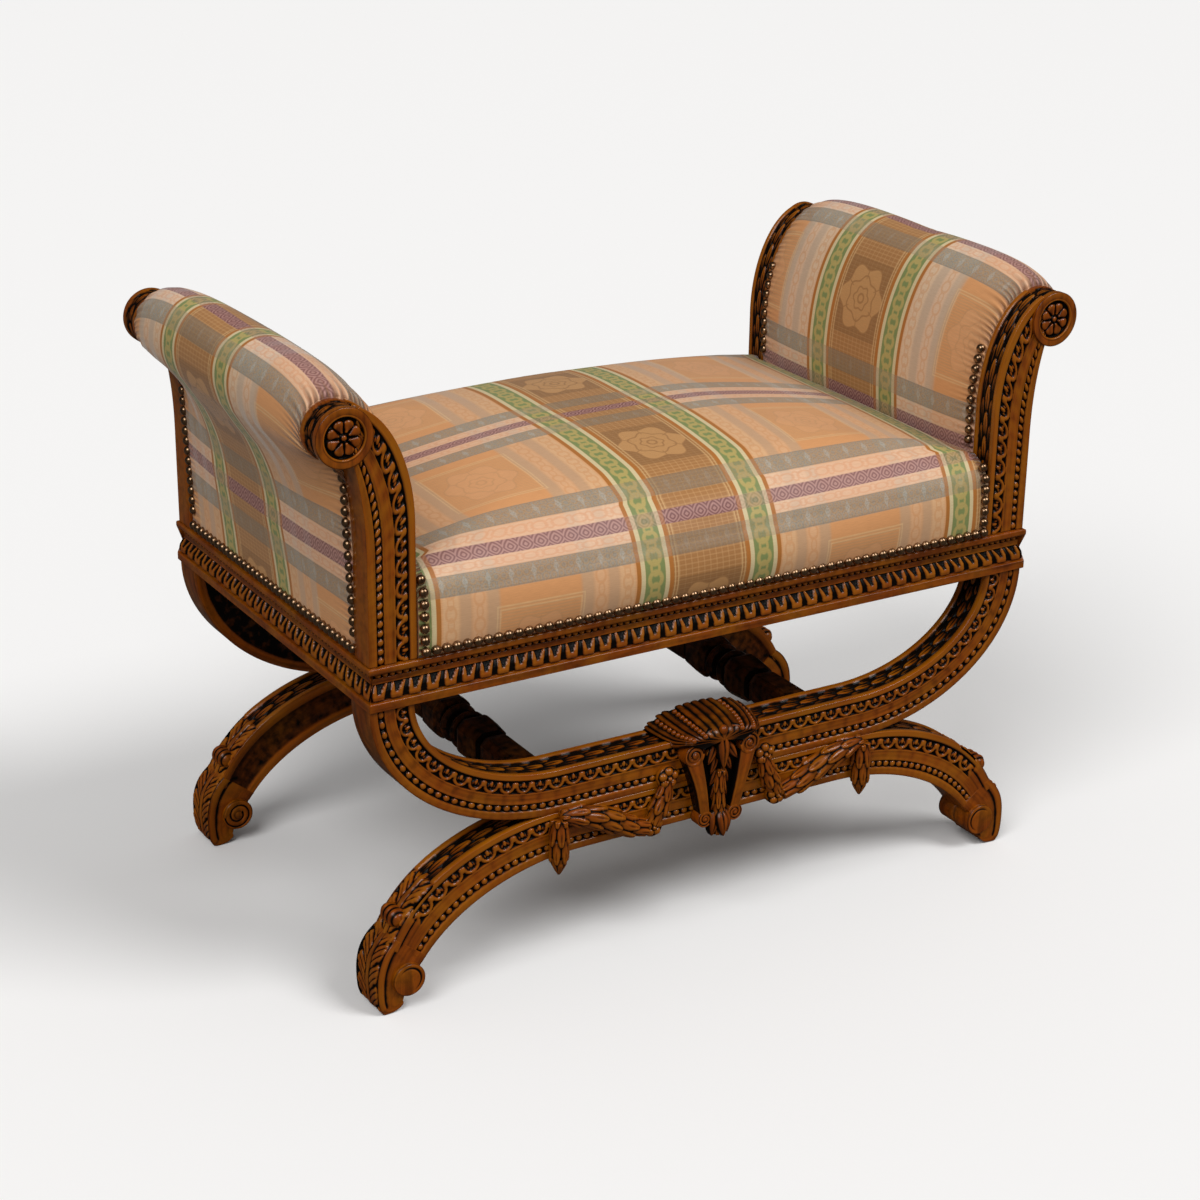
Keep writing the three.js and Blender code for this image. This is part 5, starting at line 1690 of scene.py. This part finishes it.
def arm_outline(fullness, count):
    """The outline of an arm's cover in X and Z, [station, point]: up the inner face, over the crest as a
    quarter of an ellipse, round the roll, off it in a curve that bends down into the outer panel, and down
    to the rail. Fullness is 1 in the middle and less beside the posts."""
    full = fullness[:, None]
    swell = ARM_BULGE * full
    crest = SCROLL_RADIUS + CREST_BULGE * full
    roll = SCROLL_RADIUS + ROLL_BULGE * full
    up = np.linspace(0, 1, count[0])[None, :-1]
    turn = np.linspace(0, np.pi / 2, count[1])[None, :-1]
    last = -np.pi * (0.55 - 0.35 * full)
    fall = np.pi / 2 + (last - np.pi / 2) * np.linspace(0, 1, count[2])[None, :]
    start_x = SCROLL_X + roll * np.cos(last)
    start_z = SCROLL_Z + roll * np.sin(last)
    # Off the roll the outline goes on in its own direction, as far as the panel.
    panel_x = POST_OUTER - ARM_COVER
    lean = swell / 2 + 6
    reach = (start_x - panel_x - lean) / -np.sin(last)
    knee_z = start_z - np.cos(last) * reach
    end_z = knee_z - (1.3 - 0.4 * full) * reach
    t = np.linspace(0, 1, count[3] // 2 + 1)[None, 1:]
    foot = RAIL_TOP + 0.3
    low_z = end_z + (foot - end_z) * t
    fade = smooth(foot - 20, PANEL_TOP, low_z) / smooth(foot - 20, PANEL_TOP, end_z)
    return np.concatenate([np.stack(np.broadcast_arrays(x, z), -1) for x, z in (
        (POST_INNER - swell * (0.5 + 0.4 * up), PAD_FOOT + (CURVE_FOOT - PAD_FOOT) * up),
        (
            SCROLL_X - (SCROLL_X - POST_INNER + swell * 0.9) * np.cos(turn),
            CURVE_FOOT + (SCROLL_Z + crest - CURVE_FOOT) * np.sin(turn),
        ),
        (SCROLL_X + roll * np.cos(fall), SCROLL_Z + np.where(fall > 0, crest, roll) * np.sin(fall)),
        (
            start_x * (1 - t) ** 2 + (panel_x + lean) * (1 - (1 - t) ** 2),
            start_z * (1 - t) ** 2 + 2 * knee_z * t * (1 - t) + end_z * t ** 2,
        ),
        (panel_x + lean * fade, low_z),
    )], 1)


def arm_lining(count):
    """The hidden inside of an arm's cover: up behind the inner face, round the top rail and down behind the
    outer panel, [point, XZ]."""
    around = np.linspace(np.radians(215), np.radians(-125), 40)
    ring = np.stack([
        SCROLL_X + TOP_RAIL_ROOM * np.cos(around), SCROLL_Z + TOP_RAIL_ROOM * np.sin(around),
    ], 1)
    panel_x = POST_OUTER - 2 * ARM_COVER
    path = np.concatenate([
        [(TACK_ROOM_INNER, PAD_FOOT), (TACK_ROOM_INNER, TACK_ROOM_TOP)], ring,
        [(panel_x, TACK_ROOM_TOP + 20), (panel_x, RAIL_TOP + 0.3)],
    ])
    return spread_along(path, np.linspace(0, way_along(path)[-1], count))


def pleats(y, along, reach):
    """Small pleats where the cover is drawn in beside a post: waves along the path that die out away from
    the post, in millimetres."""
    wave = np.sin(along * 2 * np.pi / 13 + 1.7 * np.sin(along / 31)) * 0.6 + np.sin(along / 3.1) * 0.4
    return 1.1 * wave * np.exp((np.abs(y) - reach) / 20)


def sheet_of(points, inner, across, along):
    """A padded cover as a closed box of four sides: its outer sheet [row, point], its lining matched to it
    point by point, and strips that join their edges. Across, by row, and along, by row and point, are the
    places on the cloth."""
    rows, cols = points.shape[:2]
    wide = 2 * cols
    v = np.concatenate([along, along[:, ::-1], along[:, :1]], 1)
    places = np.stack(np.broadcast_arrays(across[:, None], v), -1) * MM
    k = np.arange(cols - 1)
    end = np.stack([k, wide - 1 - k, wide - 2 - k, k + 1], -1)
    end_places = [np.repeat(places[row, k][:, None], 4, 1) for row in (0, -1)]
    return Surface(
        np.concatenate([points, inner[:, ::-1]], 1).reshape(-1, 3),
        np.concatenate([wall(rows, wide), end, (rows - 1) * wide + end[:, ::-1]]),
        np.concatenate([corners_of(places)] + end_places),
    ).outward()


def swell_cover(piece, held):
    """Fills a cover by simulated pressure: cloth with no gravity, held at its nailed edges, for twenty
    frames. Held is the grid of its points, 1 where they stay. The movement is evened out over a few
    points, and no point moves further than the cap."""
    scene = bpy.context.scene
    settings = cover_settings()
    mesh = piece.data
    start = np.empty(len(mesh.vertices) * 3, np.float32)
    mesh.vertices.foreach_get("co", start)
    pinned = np.ones(len(mesh.vertices))
    pinned[:held.size] = np.round(held.ravel(), 2)
    group = piece.vertex_groups.new(name="nailed")
    for weight in np.unique(pinned):
        if weight > 0:
            group.add(np.flatnonzero(pinned == weight).tolist(), float(weight), "REPLACE")
    cloth = piece.modifiers.new("stuffing", "CLOTH")
    cloth.settings.use_pressure = True
    cloth.settings.uniform_pressure_force = settings.pressure
    cloth.settings.effector_weights.gravity = 0
    cloth.settings.vertex_group_mass = "nailed"
    cloth.settings.tension_stiffness = 12
    cloth.settings.compression_stiffness = 12
    cloth.settings.shear_stiffness = 6
    cloth.settings.bending_stiffness = 0.6
    cloth.settings.mass = 0.3
    cloth.settings.quality = 4
    cloth.point_cache.frame_start = 1
    cloth.point_cache.frame_end = 20
    for number in range(1, 21):
        scene.frame_set(number)
    graph = bpy.context.evaluated_depsgraph_get()
    moved = np.empty_like(start)
    piece.evaluated_get(graph).data.vertices.foreach_get("co", moved)
    piece.modifiers.remove(cloth)
    piece.vertex_groups.remove(group)
    scene.frame_set(1)
    shift = (moved - start).reshape(-1, 3)
    grid = shift[:held.size].reshape(held.shape + (3,))
    even = 0.25 * grid + 0.75 * box_mean(box_mean(grid, 4, 0), 4, 1)
    free = (1 - held) * box_mean(box_mean(1 - held, 2, 0), 2, 1)
    shift[:held.size] = (even * free[..., None]).reshape(-1, 3)
    length = np.linalg.norm(shift, axis=1, keepdims=True)
    shift *= np.minimum(1, settings.cap / np.maximum(length, 1e-9))
    mesh.vertices.foreach_set("co", (start.reshape(-1, 3) + shift).ravel())
    mesh.update()


class BENCH_OT_arm_pads(bpy.types.Operator):
    """Upholsters the two arms"""

    bl_idname = "bench.arm_pads"
    bl_label = "Arm pads"

    def execute(self, context):
        share = np.sin(np.linspace(-1, 1, 101) * np.pi / 2 * 0.92) / math.sin(np.pi / 2 * 0.92)
        outline = arm_outline(np.sqrt(1 - np.abs(share) ** 4 * 0.999), ARM_COUNTS)
        rows, cols = outline.shape[:2]
        y = share * PAD_REACH
        points = np.stack(np.broadcast_arrays(outline[..., 0], y[:, None], outline[..., 1]), -1)
        ways = way_along(outline)
        way = ways[rows // 2]
        # The bands of the cloth lie level on the inner face and on the outer panel, and ease over the roll.
        even = ways.mean(0)
        over = smooth(even[ARM_COUNTS[0] + ARM_COUNTS[1] - 2], even[cols - ARM_COUNTS[3]], even)
        along = even + (even[-1] - ways[:, -1:] + ways - even) * over + ARM_CUT_FOOT
        normal = np.cross(np.gradient(points, axis=1), np.gradient(points, axis=0))
        normal /= np.maximum(np.linalg.norm(normal, axis=2, keepdims=True), 1e-6)
        middle = np.array([SCROLL_X, 0, SCROLL_Z - 80])
        facing = np.sign(np.einsum("ijk,ijk->ij", normal, points - middle))
        free = smooth(0, 30, way) * (1 - smooth(way[-1] - 190, way[-1] - 130, way))
        gather = facing * pleats(y[:, None], way, PAD_REACH) * free
        points = points + normal * gather[..., None]
        lining = arm_lining(cols)
        inner = np.stack(np.broadcast_arrays(lining[:, 0], points[..., 1], lining[:, 1]), -1)
        for side, turned, shift in ARM_CUTS:
            surface = sheet_of(points, inner, y - shift if turned else y + shift, along)
            if turned:
                surface = surface.half_turned()
            piece = put(side + "_arm_cover", surface, "damask_cover")
            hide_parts(side + "_arm_pad")
            held = np.ones((rows, 2 * cols))
            held[:, :cols] = smooth(9, 3, PAD_REACH - np.abs(y))[:, None]
            held[:, cols - 40:cols] = np.maximum(held[:, cols - 40:cols], 0.5)
            held[:, :4] = 1
            held[:, cols - 6:cols] = 1
            swell_cover(piece, held)
        return {"FINISHED"}


def crown_share(x):
    """1 in the middle of the seat's length, and less towards the arms by a power of the way."""
    return 1 - np.abs(x / SEAT_BETWEEN_ARMS).clip(0, 1) ** 2.4


def seat_lift(x, y):
    """How far the crown rises over the seat's edge: it falls off as powers of the way to the sides and to the
    front."""
    return SEAT_CROWN * (0.05 + 0.7 * crown_share(x)) * (1 - np.abs(y / FRAME_FACE).clip(0, 1) ** 2.2)


def seat_section(x):
    """The sections of the seat at places along it, [row, point, YZ]: up the front face, which bulges as a
    sine, round the shoulder as a quarter circle, over the crown and down the rear. The edge rises by a
    quarter of the crown towards the middle."""
    x = x[:, None]
    edge = SEAT_EDGE + SEAT_CROWN / 4 * crown_share(x)
    rise = np.linspace(0, 1, 22)[:-1]
    bulge = 1 + 6.5 * np.sqrt(crown_share(x).clip(0, 1))
    face_y = -FRAME_FACE - bulge * np.sin(np.pi * rise ** 0.8) ** 0.8
    turn = np.linspace(0, np.pi / 2, 18)[:-1]
    round_y = -FRAME_FACE + SEAT_SHOULDER * (1 - np.cos(turn))
    flat_y = np.linspace(-FRAME_FACE + SEAT_SHOULDER, 0, 46)
    half = np.concatenate([np.stack(np.broadcast_arrays(y, z), -1) for y, z in (
        (face_y, SEAT_FOOT + (edge - SEAT_SHOULDER - SEAT_FOOT) * rise),
        (round_y, edge - SEAT_SHOULDER * (1 - np.sin(turn)) + seat_lift(x, round_y)),
        (flat_y, edge + seat_lift(x, flat_y)),
    )], 1)
    return np.concatenate([half, half[:, -2::-1] * [-1, 1]], 1)


def seat_places(share, way):
    """Where a point of the seat lies on its cover, in millimetres, from its share of the half length and its
    way from the front nails. The cover is drawn over the shoulder, and its stripes spread over the crown and
    drift to the right at the rear."""
    drawn = np.interp(
        way, [-10, 69.5, 98, 143.5, 297, 332, 366, 600, 1200], [-108, -37, 0, 40, 199, 238, 275, 490, 1090],
    )
    over = smooth(60, 190, way)
    drift = 5.6 * over + 19 * smooth(340, 560, way)
    return (share * (SEAT_BETWEEN_ARMS + 9) - drift) / (1 + 0.04 * over) + 20.0, drawn


class BENCH_OT_seat(bpy.types.Operator):
    """Upholsters the seat"""

    bl_idname = "bench.seat"
    bl_label = "Seat"

    def execute(self, context):
        share = np.sin(np.linspace(-1, 1, 161) * np.pi / 2 * 0.9) / math.sin(np.pi / 2 * 0.9)
        section = seat_section(share * SEAT_BETWEEN_ARMS)
        rows, cols = section.shape[:2]
        y, z = section[..., 0], section[..., 1]
        beside = smooth(POST_BACK + 0.5, POST_BACK + 6, np.abs(y))
        x = share[:, None] * (SEAT_BETWEEN_ARMS + (SEAT_HALF - 0.5 - SEAT_BETWEEN_ARMS) * beside)
        from_end = np.clip((1 - np.abs(share[:, None])) * SEAT_BETWEEN_ARMS / SEAT_END_ROUND, 0, 1)
        roll = 9 * (1 - np.sqrt(1 - (1 - from_end) ** 2))
        points = np.stack([x, y, z - roll * smooth(SEAT_EDGE - 45, SEAT_EDGE - 5, z)], -1)
        under_y = np.linspace(FRAME_FACE - 1, -FRAME_FACE + 1, 24)
        lift = np.where(np.abs(under_y) < FRAME_FACE - 23, SEAT_FOOT + 3.8, SEAT_FOOT)
        under = np.stack(np.broadcast_arrays(x[:, :1], under_y, lift), -1)
        ring = np.concatenate([points, under], 1)
        way = way_along(section)
        way = np.concatenate([way, way[:, -1:] + np.linspace(0, 500, 25)], 1)
        places = np.stack(seat_places(share[:, None], way - (SEAT_CUT_FOOT - SEAT_FOOT)), -1) * MM
        piece = put("seat_cover", tube(ring, places), "damask_cover")
        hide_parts("seat_cushion")
        held = np.zeros((rows, ring.shape[1]))
        held[:, cols:] = 1
        held[:, :2] = 1
        held[:, cols - 2:cols] = 1
        held[:3] = 1
        held[-3:] = 1
        swell_cover(piece, held)
        return {"FINISHED"}


# Nails


def nail_rows(points, normals):
    """Domed heads at points along a row, each facing its normal: a quarter circle of rings round the axis,
    with a short skirt behind them, as one array [nail, ring, segment, XYZ]."""
    settings = nail_settings()
    radius = settings.diameter / MM / 2
    lift = np.radians([-12, 12, 34, 56, 78])[:, None]
    turn = circle(9)[None, :]
    unit = np.stack(np.broadcast_arrays(
        np.cos(lift) * np.cos(turn), np.cos(lift) * np.sin(turn), 0.95 * np.sin(lift)
    ), -1) * radius
    normals = normals / np.linalg.norm(normals, axis=1, keepdims=True)
    helper = np.where(np.abs(normals[:, 2:3]) > 0.8, [[1.0, 0, 0]], [[0, 0, 1.0]])
    side = np.cross(helper, normals)
    side /= np.linalg.norm(side, axis=1, keepdims=True)
    other = np.cross(normals, side)
    basis = np.stack([side, other, normals], 1)
    return np.einsum("rsk,nkj->nrsj", unit, basis) + points[:, None, None, :]


def spaced_along(path, pitch):
    """Points along a path from end to end, at an even pitch near the one given."""
    total = way_along(path)[-1]
    return spread_along(path, np.linspace(0, total, max(2, int(round(total / pitch)) + 1)))


def put_nails(name, points, normals):
    """A row of nails as one piece: each head is closed by a fan on its top and one on its back."""
    piece = put(name, joined([tube(head) for head in nail_rows(points, normals)]), "antique_brass")


class BENCH_OT_nails(bpy.types.Operator):
    """Sets the rows of brass nails along the covers' edges"""

    bl_idname = "bench.nails"
    bl_label = "Nails"

    def execute(self, context):
        pitch = nail_settings().pitch / MM
        height = RAIL_TOP + 7.6
        reach = SEAT_HALF - 6.5
        front_y = -FRAME_FACE - 4.6
        rows = [spaced_along(np.array([[-reach, front_y, height], [reach, front_y, height]]), pitch)]
        for side in (-1, 1):
            rows.append(spaced_along(np.array([
                [side * reach, -FRAME_FACE - 3.2, height + pitch],
                [side * reach, -FRAME_FACE - 2.4, SEAT_EDGE - SEAT_SHOULDER + 8],
                [side * reach, -FRAME_FACE + 5, SEAT_EDGE - 15],
            ]), pitch))
        row = np.concatenate(rows)
        outward = np.tile([0.0, -1.0, 0.0], (len(row), 1))
        put_nails("front_seat_nails", row, outward)
        put_nails("rear_seat_nails", row * [-1, -1, 1], -outward)
        panel_x = POST_OUTER - ARM_COVER + 2.0
        end_y = PAD_REACH - 6.5
        points = [spaced_along(np.array([[panel_x, -end_y, height], [panel_x, end_y, height]]), pitch)]
        facing = [np.tile([1.0, 0.0, 0.0], (len(points[0]), 1))]
        outline = arm_outline(np.array([0.35]), ARM_COUNTS)[0]
        tangent = np.gradient(outline, axis=0)
        tangent /= np.linalg.norm(tangent, axis=1, keepdims=True)
        path = np.concatenate([outline, tangent[:, ::-1] * [-1, 1]], 1)
        x, z = outline.T
        inside = (x < POST_INNER + 20) & (z > SEAT_EDGE + 8) & (z < 632)
        outside = (x > POST_OUTER - 20) & (z > height + pitch * 0.9) & (z < 618)
        outside[:len(outline) // 2 + 1] = False
        lines = []
        for part in (path[inside], path[outside]):
            way = way_along(part[:, :2])
            even = np.arange(0, way[-1], pitch)
            lines.append(np.stack([np.interp(even, way, values) for values in part.T], 1))
        x, z, out_x, out_z = np.concatenate(lines).T
        for y in (6.0 - PAD_REACH, PAD_REACH - 6.0):
            points.append(np.stack([x, np.full(len(x), y), z], 1))
            facing.append(np.stack([out_x, np.zeros(len(x)), out_z], 1))
        points = np.concatenate(points)
        facing = np.concatenate(facing)
        put_nails("right_arm_nails", points, facing)
        put_nails("left_arm_nails", points * [-1, -1, 1], facing * [-1, -1, 1])
        return {"FINISHED"}


# Stage


# Where the photographer stood, in metres, and which way the lens pointed, in degrees
CAMERA_PLACE = (-1.507201, -2.482742, 1.480340)
CAMERA_ANGLES = (-31.2418, 21.8761, 0.7962)


class BENCH_OT_stage(bpy.types.Operator):
    """Sets the floor, the soft studio lamps, the world and the camera"""

    bl_idname = "bench.stage"
    bl_label = "Stage"

    def execute(self, context):
        scene = context.scene
        settings = stage_settings()
        scene.view_settings.view_transform = "Standard"
        tree = new_material("studio_floor")
        glossy = add(tree, "LightPath", output="Is Glossy Ray")
        seen = add(tree, "LightPath", output="Is Camera Ray")
        colour = lay(lay("857F79", "45403B", glossy), settings.floor, seen)
        finish(tree, {"Base Color": colour, "Roughness": 0.9})
        reach = 30.0
        mesh = bpy.data.meshes.new("studio_floor")
        corners = [(-reach, -reach, 0), (reach, -reach, 0), (reach, reach, 0), (-reach, reach, 0)]
        mesh.from_pydata(corners, [], [(0, 1, 2, 3)])
        mesh.materials.append(bpy.data.materials["studio_floor"])
        floor = bpy.data.objects.new("studio_floor", mesh)
        floor.location.z = -0.0005
        scene.collection.objects.link(floor)
        world = bpy.data.worlds.new("studio")
        scene.world = world
        world.use_nodes = True
        tree = world.node_tree
        tree.nodes.clear()
        glossy = add(tree, "LightPath", output="Is Glossy Ray")
        strength = glossy * (settings.ambient * -0.9) + settings.ambient
        light = add(tree, "Background", {"Color": (1.0, 1.0, 1.0, 1.0), "Strength": strength})
        add(tree, "OutputWorld", {"Surface": light})
        for name, direction, angle, strength in (
            ("key", (0.75, -1.0, 1.35), 26.0, settings.key),
            ("fill", (-1.2, -0.8, 1.5), 34.0, settings.fill),
        ):
            light = bpy.data.lights.new(name, "SUN")
            light.angle = math.radians(angle)
            light.energy = strength
            lamp = bpy.data.objects.new(name, light)
            lamp.rotation_mode = "QUATERNION"
            lamp.rotation_quaternion = Vector(direction).to_track_quat("Z", "Y")
            scene.collection.objects.link(lamp)
        camera = bpy.data.cameras.new("camera")
        camera.sensor_width = 36.0
        camera.lens = settings.lens
        camera.clip_start = 0.05
        camera.clip_end = 100.0
        eye = bpy.data.objects.new("camera", camera)
        azimuth, pitch, roll = (math.radians(angle) for angle in CAMERA_ANGLES)
        back = Vector((
            math.sin(azimuth) * math.cos(pitch), -math.cos(azimuth) * math.cos(pitch), math.sin(pitch),
        ))
        right = (-back).cross(Vector((0, 0, 1))).normalized()
        up = right.cross(-back)
        tilted = right * math.cos(roll) + up * math.sin(roll)
        up = up * math.cos(roll) - right * math.sin(roll)
        turn = Matrix((tilted, up, back)).transposed().to_4x4()
        eye.matrix_world = Matrix.Translation(CAMERA_PLACE) @ turn
        scene.collection.objects.link(eye)
        scene.camera = eye
        return {"FINISHED"}


class BENCH_PT_panel(bpy.types.Panel):
    """Lists the steps that dress the bench"""

    bl_idname = "BENCH_PT_panel"
    bl_label = "Window bench"
    bl_space_type = "VIEW_3D"
    bl_region_type = "UI"
    bl_category = "Bench"

    def draw(self, context):
        for step in STEPS:
            self.layout.operator(step.bl_idname)
        for group in (wood_settings(), cover_settings(), nail_settings(), stage_settings()):
            for name in group.__annotations__:
                self.layout.prop(group, name)


STEPS = (
    BENCH_OT_materials,
    BENCH_OT_rails,
    BENCH_OT_cradles,
    BENCH_OT_legs,
    BENCH_OT_posts,
    BENCH_OT_stretchers,
    BENCH_OT_boss,
    BENCH_OT_swags,
    BENCH_OT_seat,
    BENCH_OT_arm_pads,
    BENCH_OT_nails,
    BENCH_OT_stage,
)
GROUPS = {
    "bench_wood": BenchWoodSettings,
    "bench_cover": BenchCoverSettings,
    "bench_nails": BenchNailSettings,
    "bench_stage": BenchStageSettings,
}


def register():
    for group in GROUPS.values():
        bpy.utils.register_class(group)
    for name, group in GROUPS.items():
        setattr(bpy.types.Scene, name, bpy.props.PointerProperty(type=group))
    for step in STEPS:
        bpy.utils.register_class(step)
    bpy.utils.register_class(BENCH_PT_panel)


def unregister():
    bpy.utils.unregister_class(BENCH_PT_panel)
    for step in reversed(STEPS):
        bpy.utils.unregister_class(step)
    for name, group in GROUPS.items():
        delattr(bpy.types.Scene, name)
        bpy.utils.unregister_class(group)


def main():
    register()
    bpy.ops.bench.materials()
    bpy.ops.bench.rails()
    bpy.ops.bench.cradles()
    bpy.ops.bench.legs()
    bpy.ops.bench.posts()
    bpy.ops.bench.stretchers()
    bpy.ops.bench.boss()
    bpy.ops.bench.swags()
    bpy.ops.bench.seat()
    bpy.ops.bench.arm_pads()
    bpy.ops.bench.nails()
    bpy.ops.bench.stage()


if __name__ == "__main__":
    main()
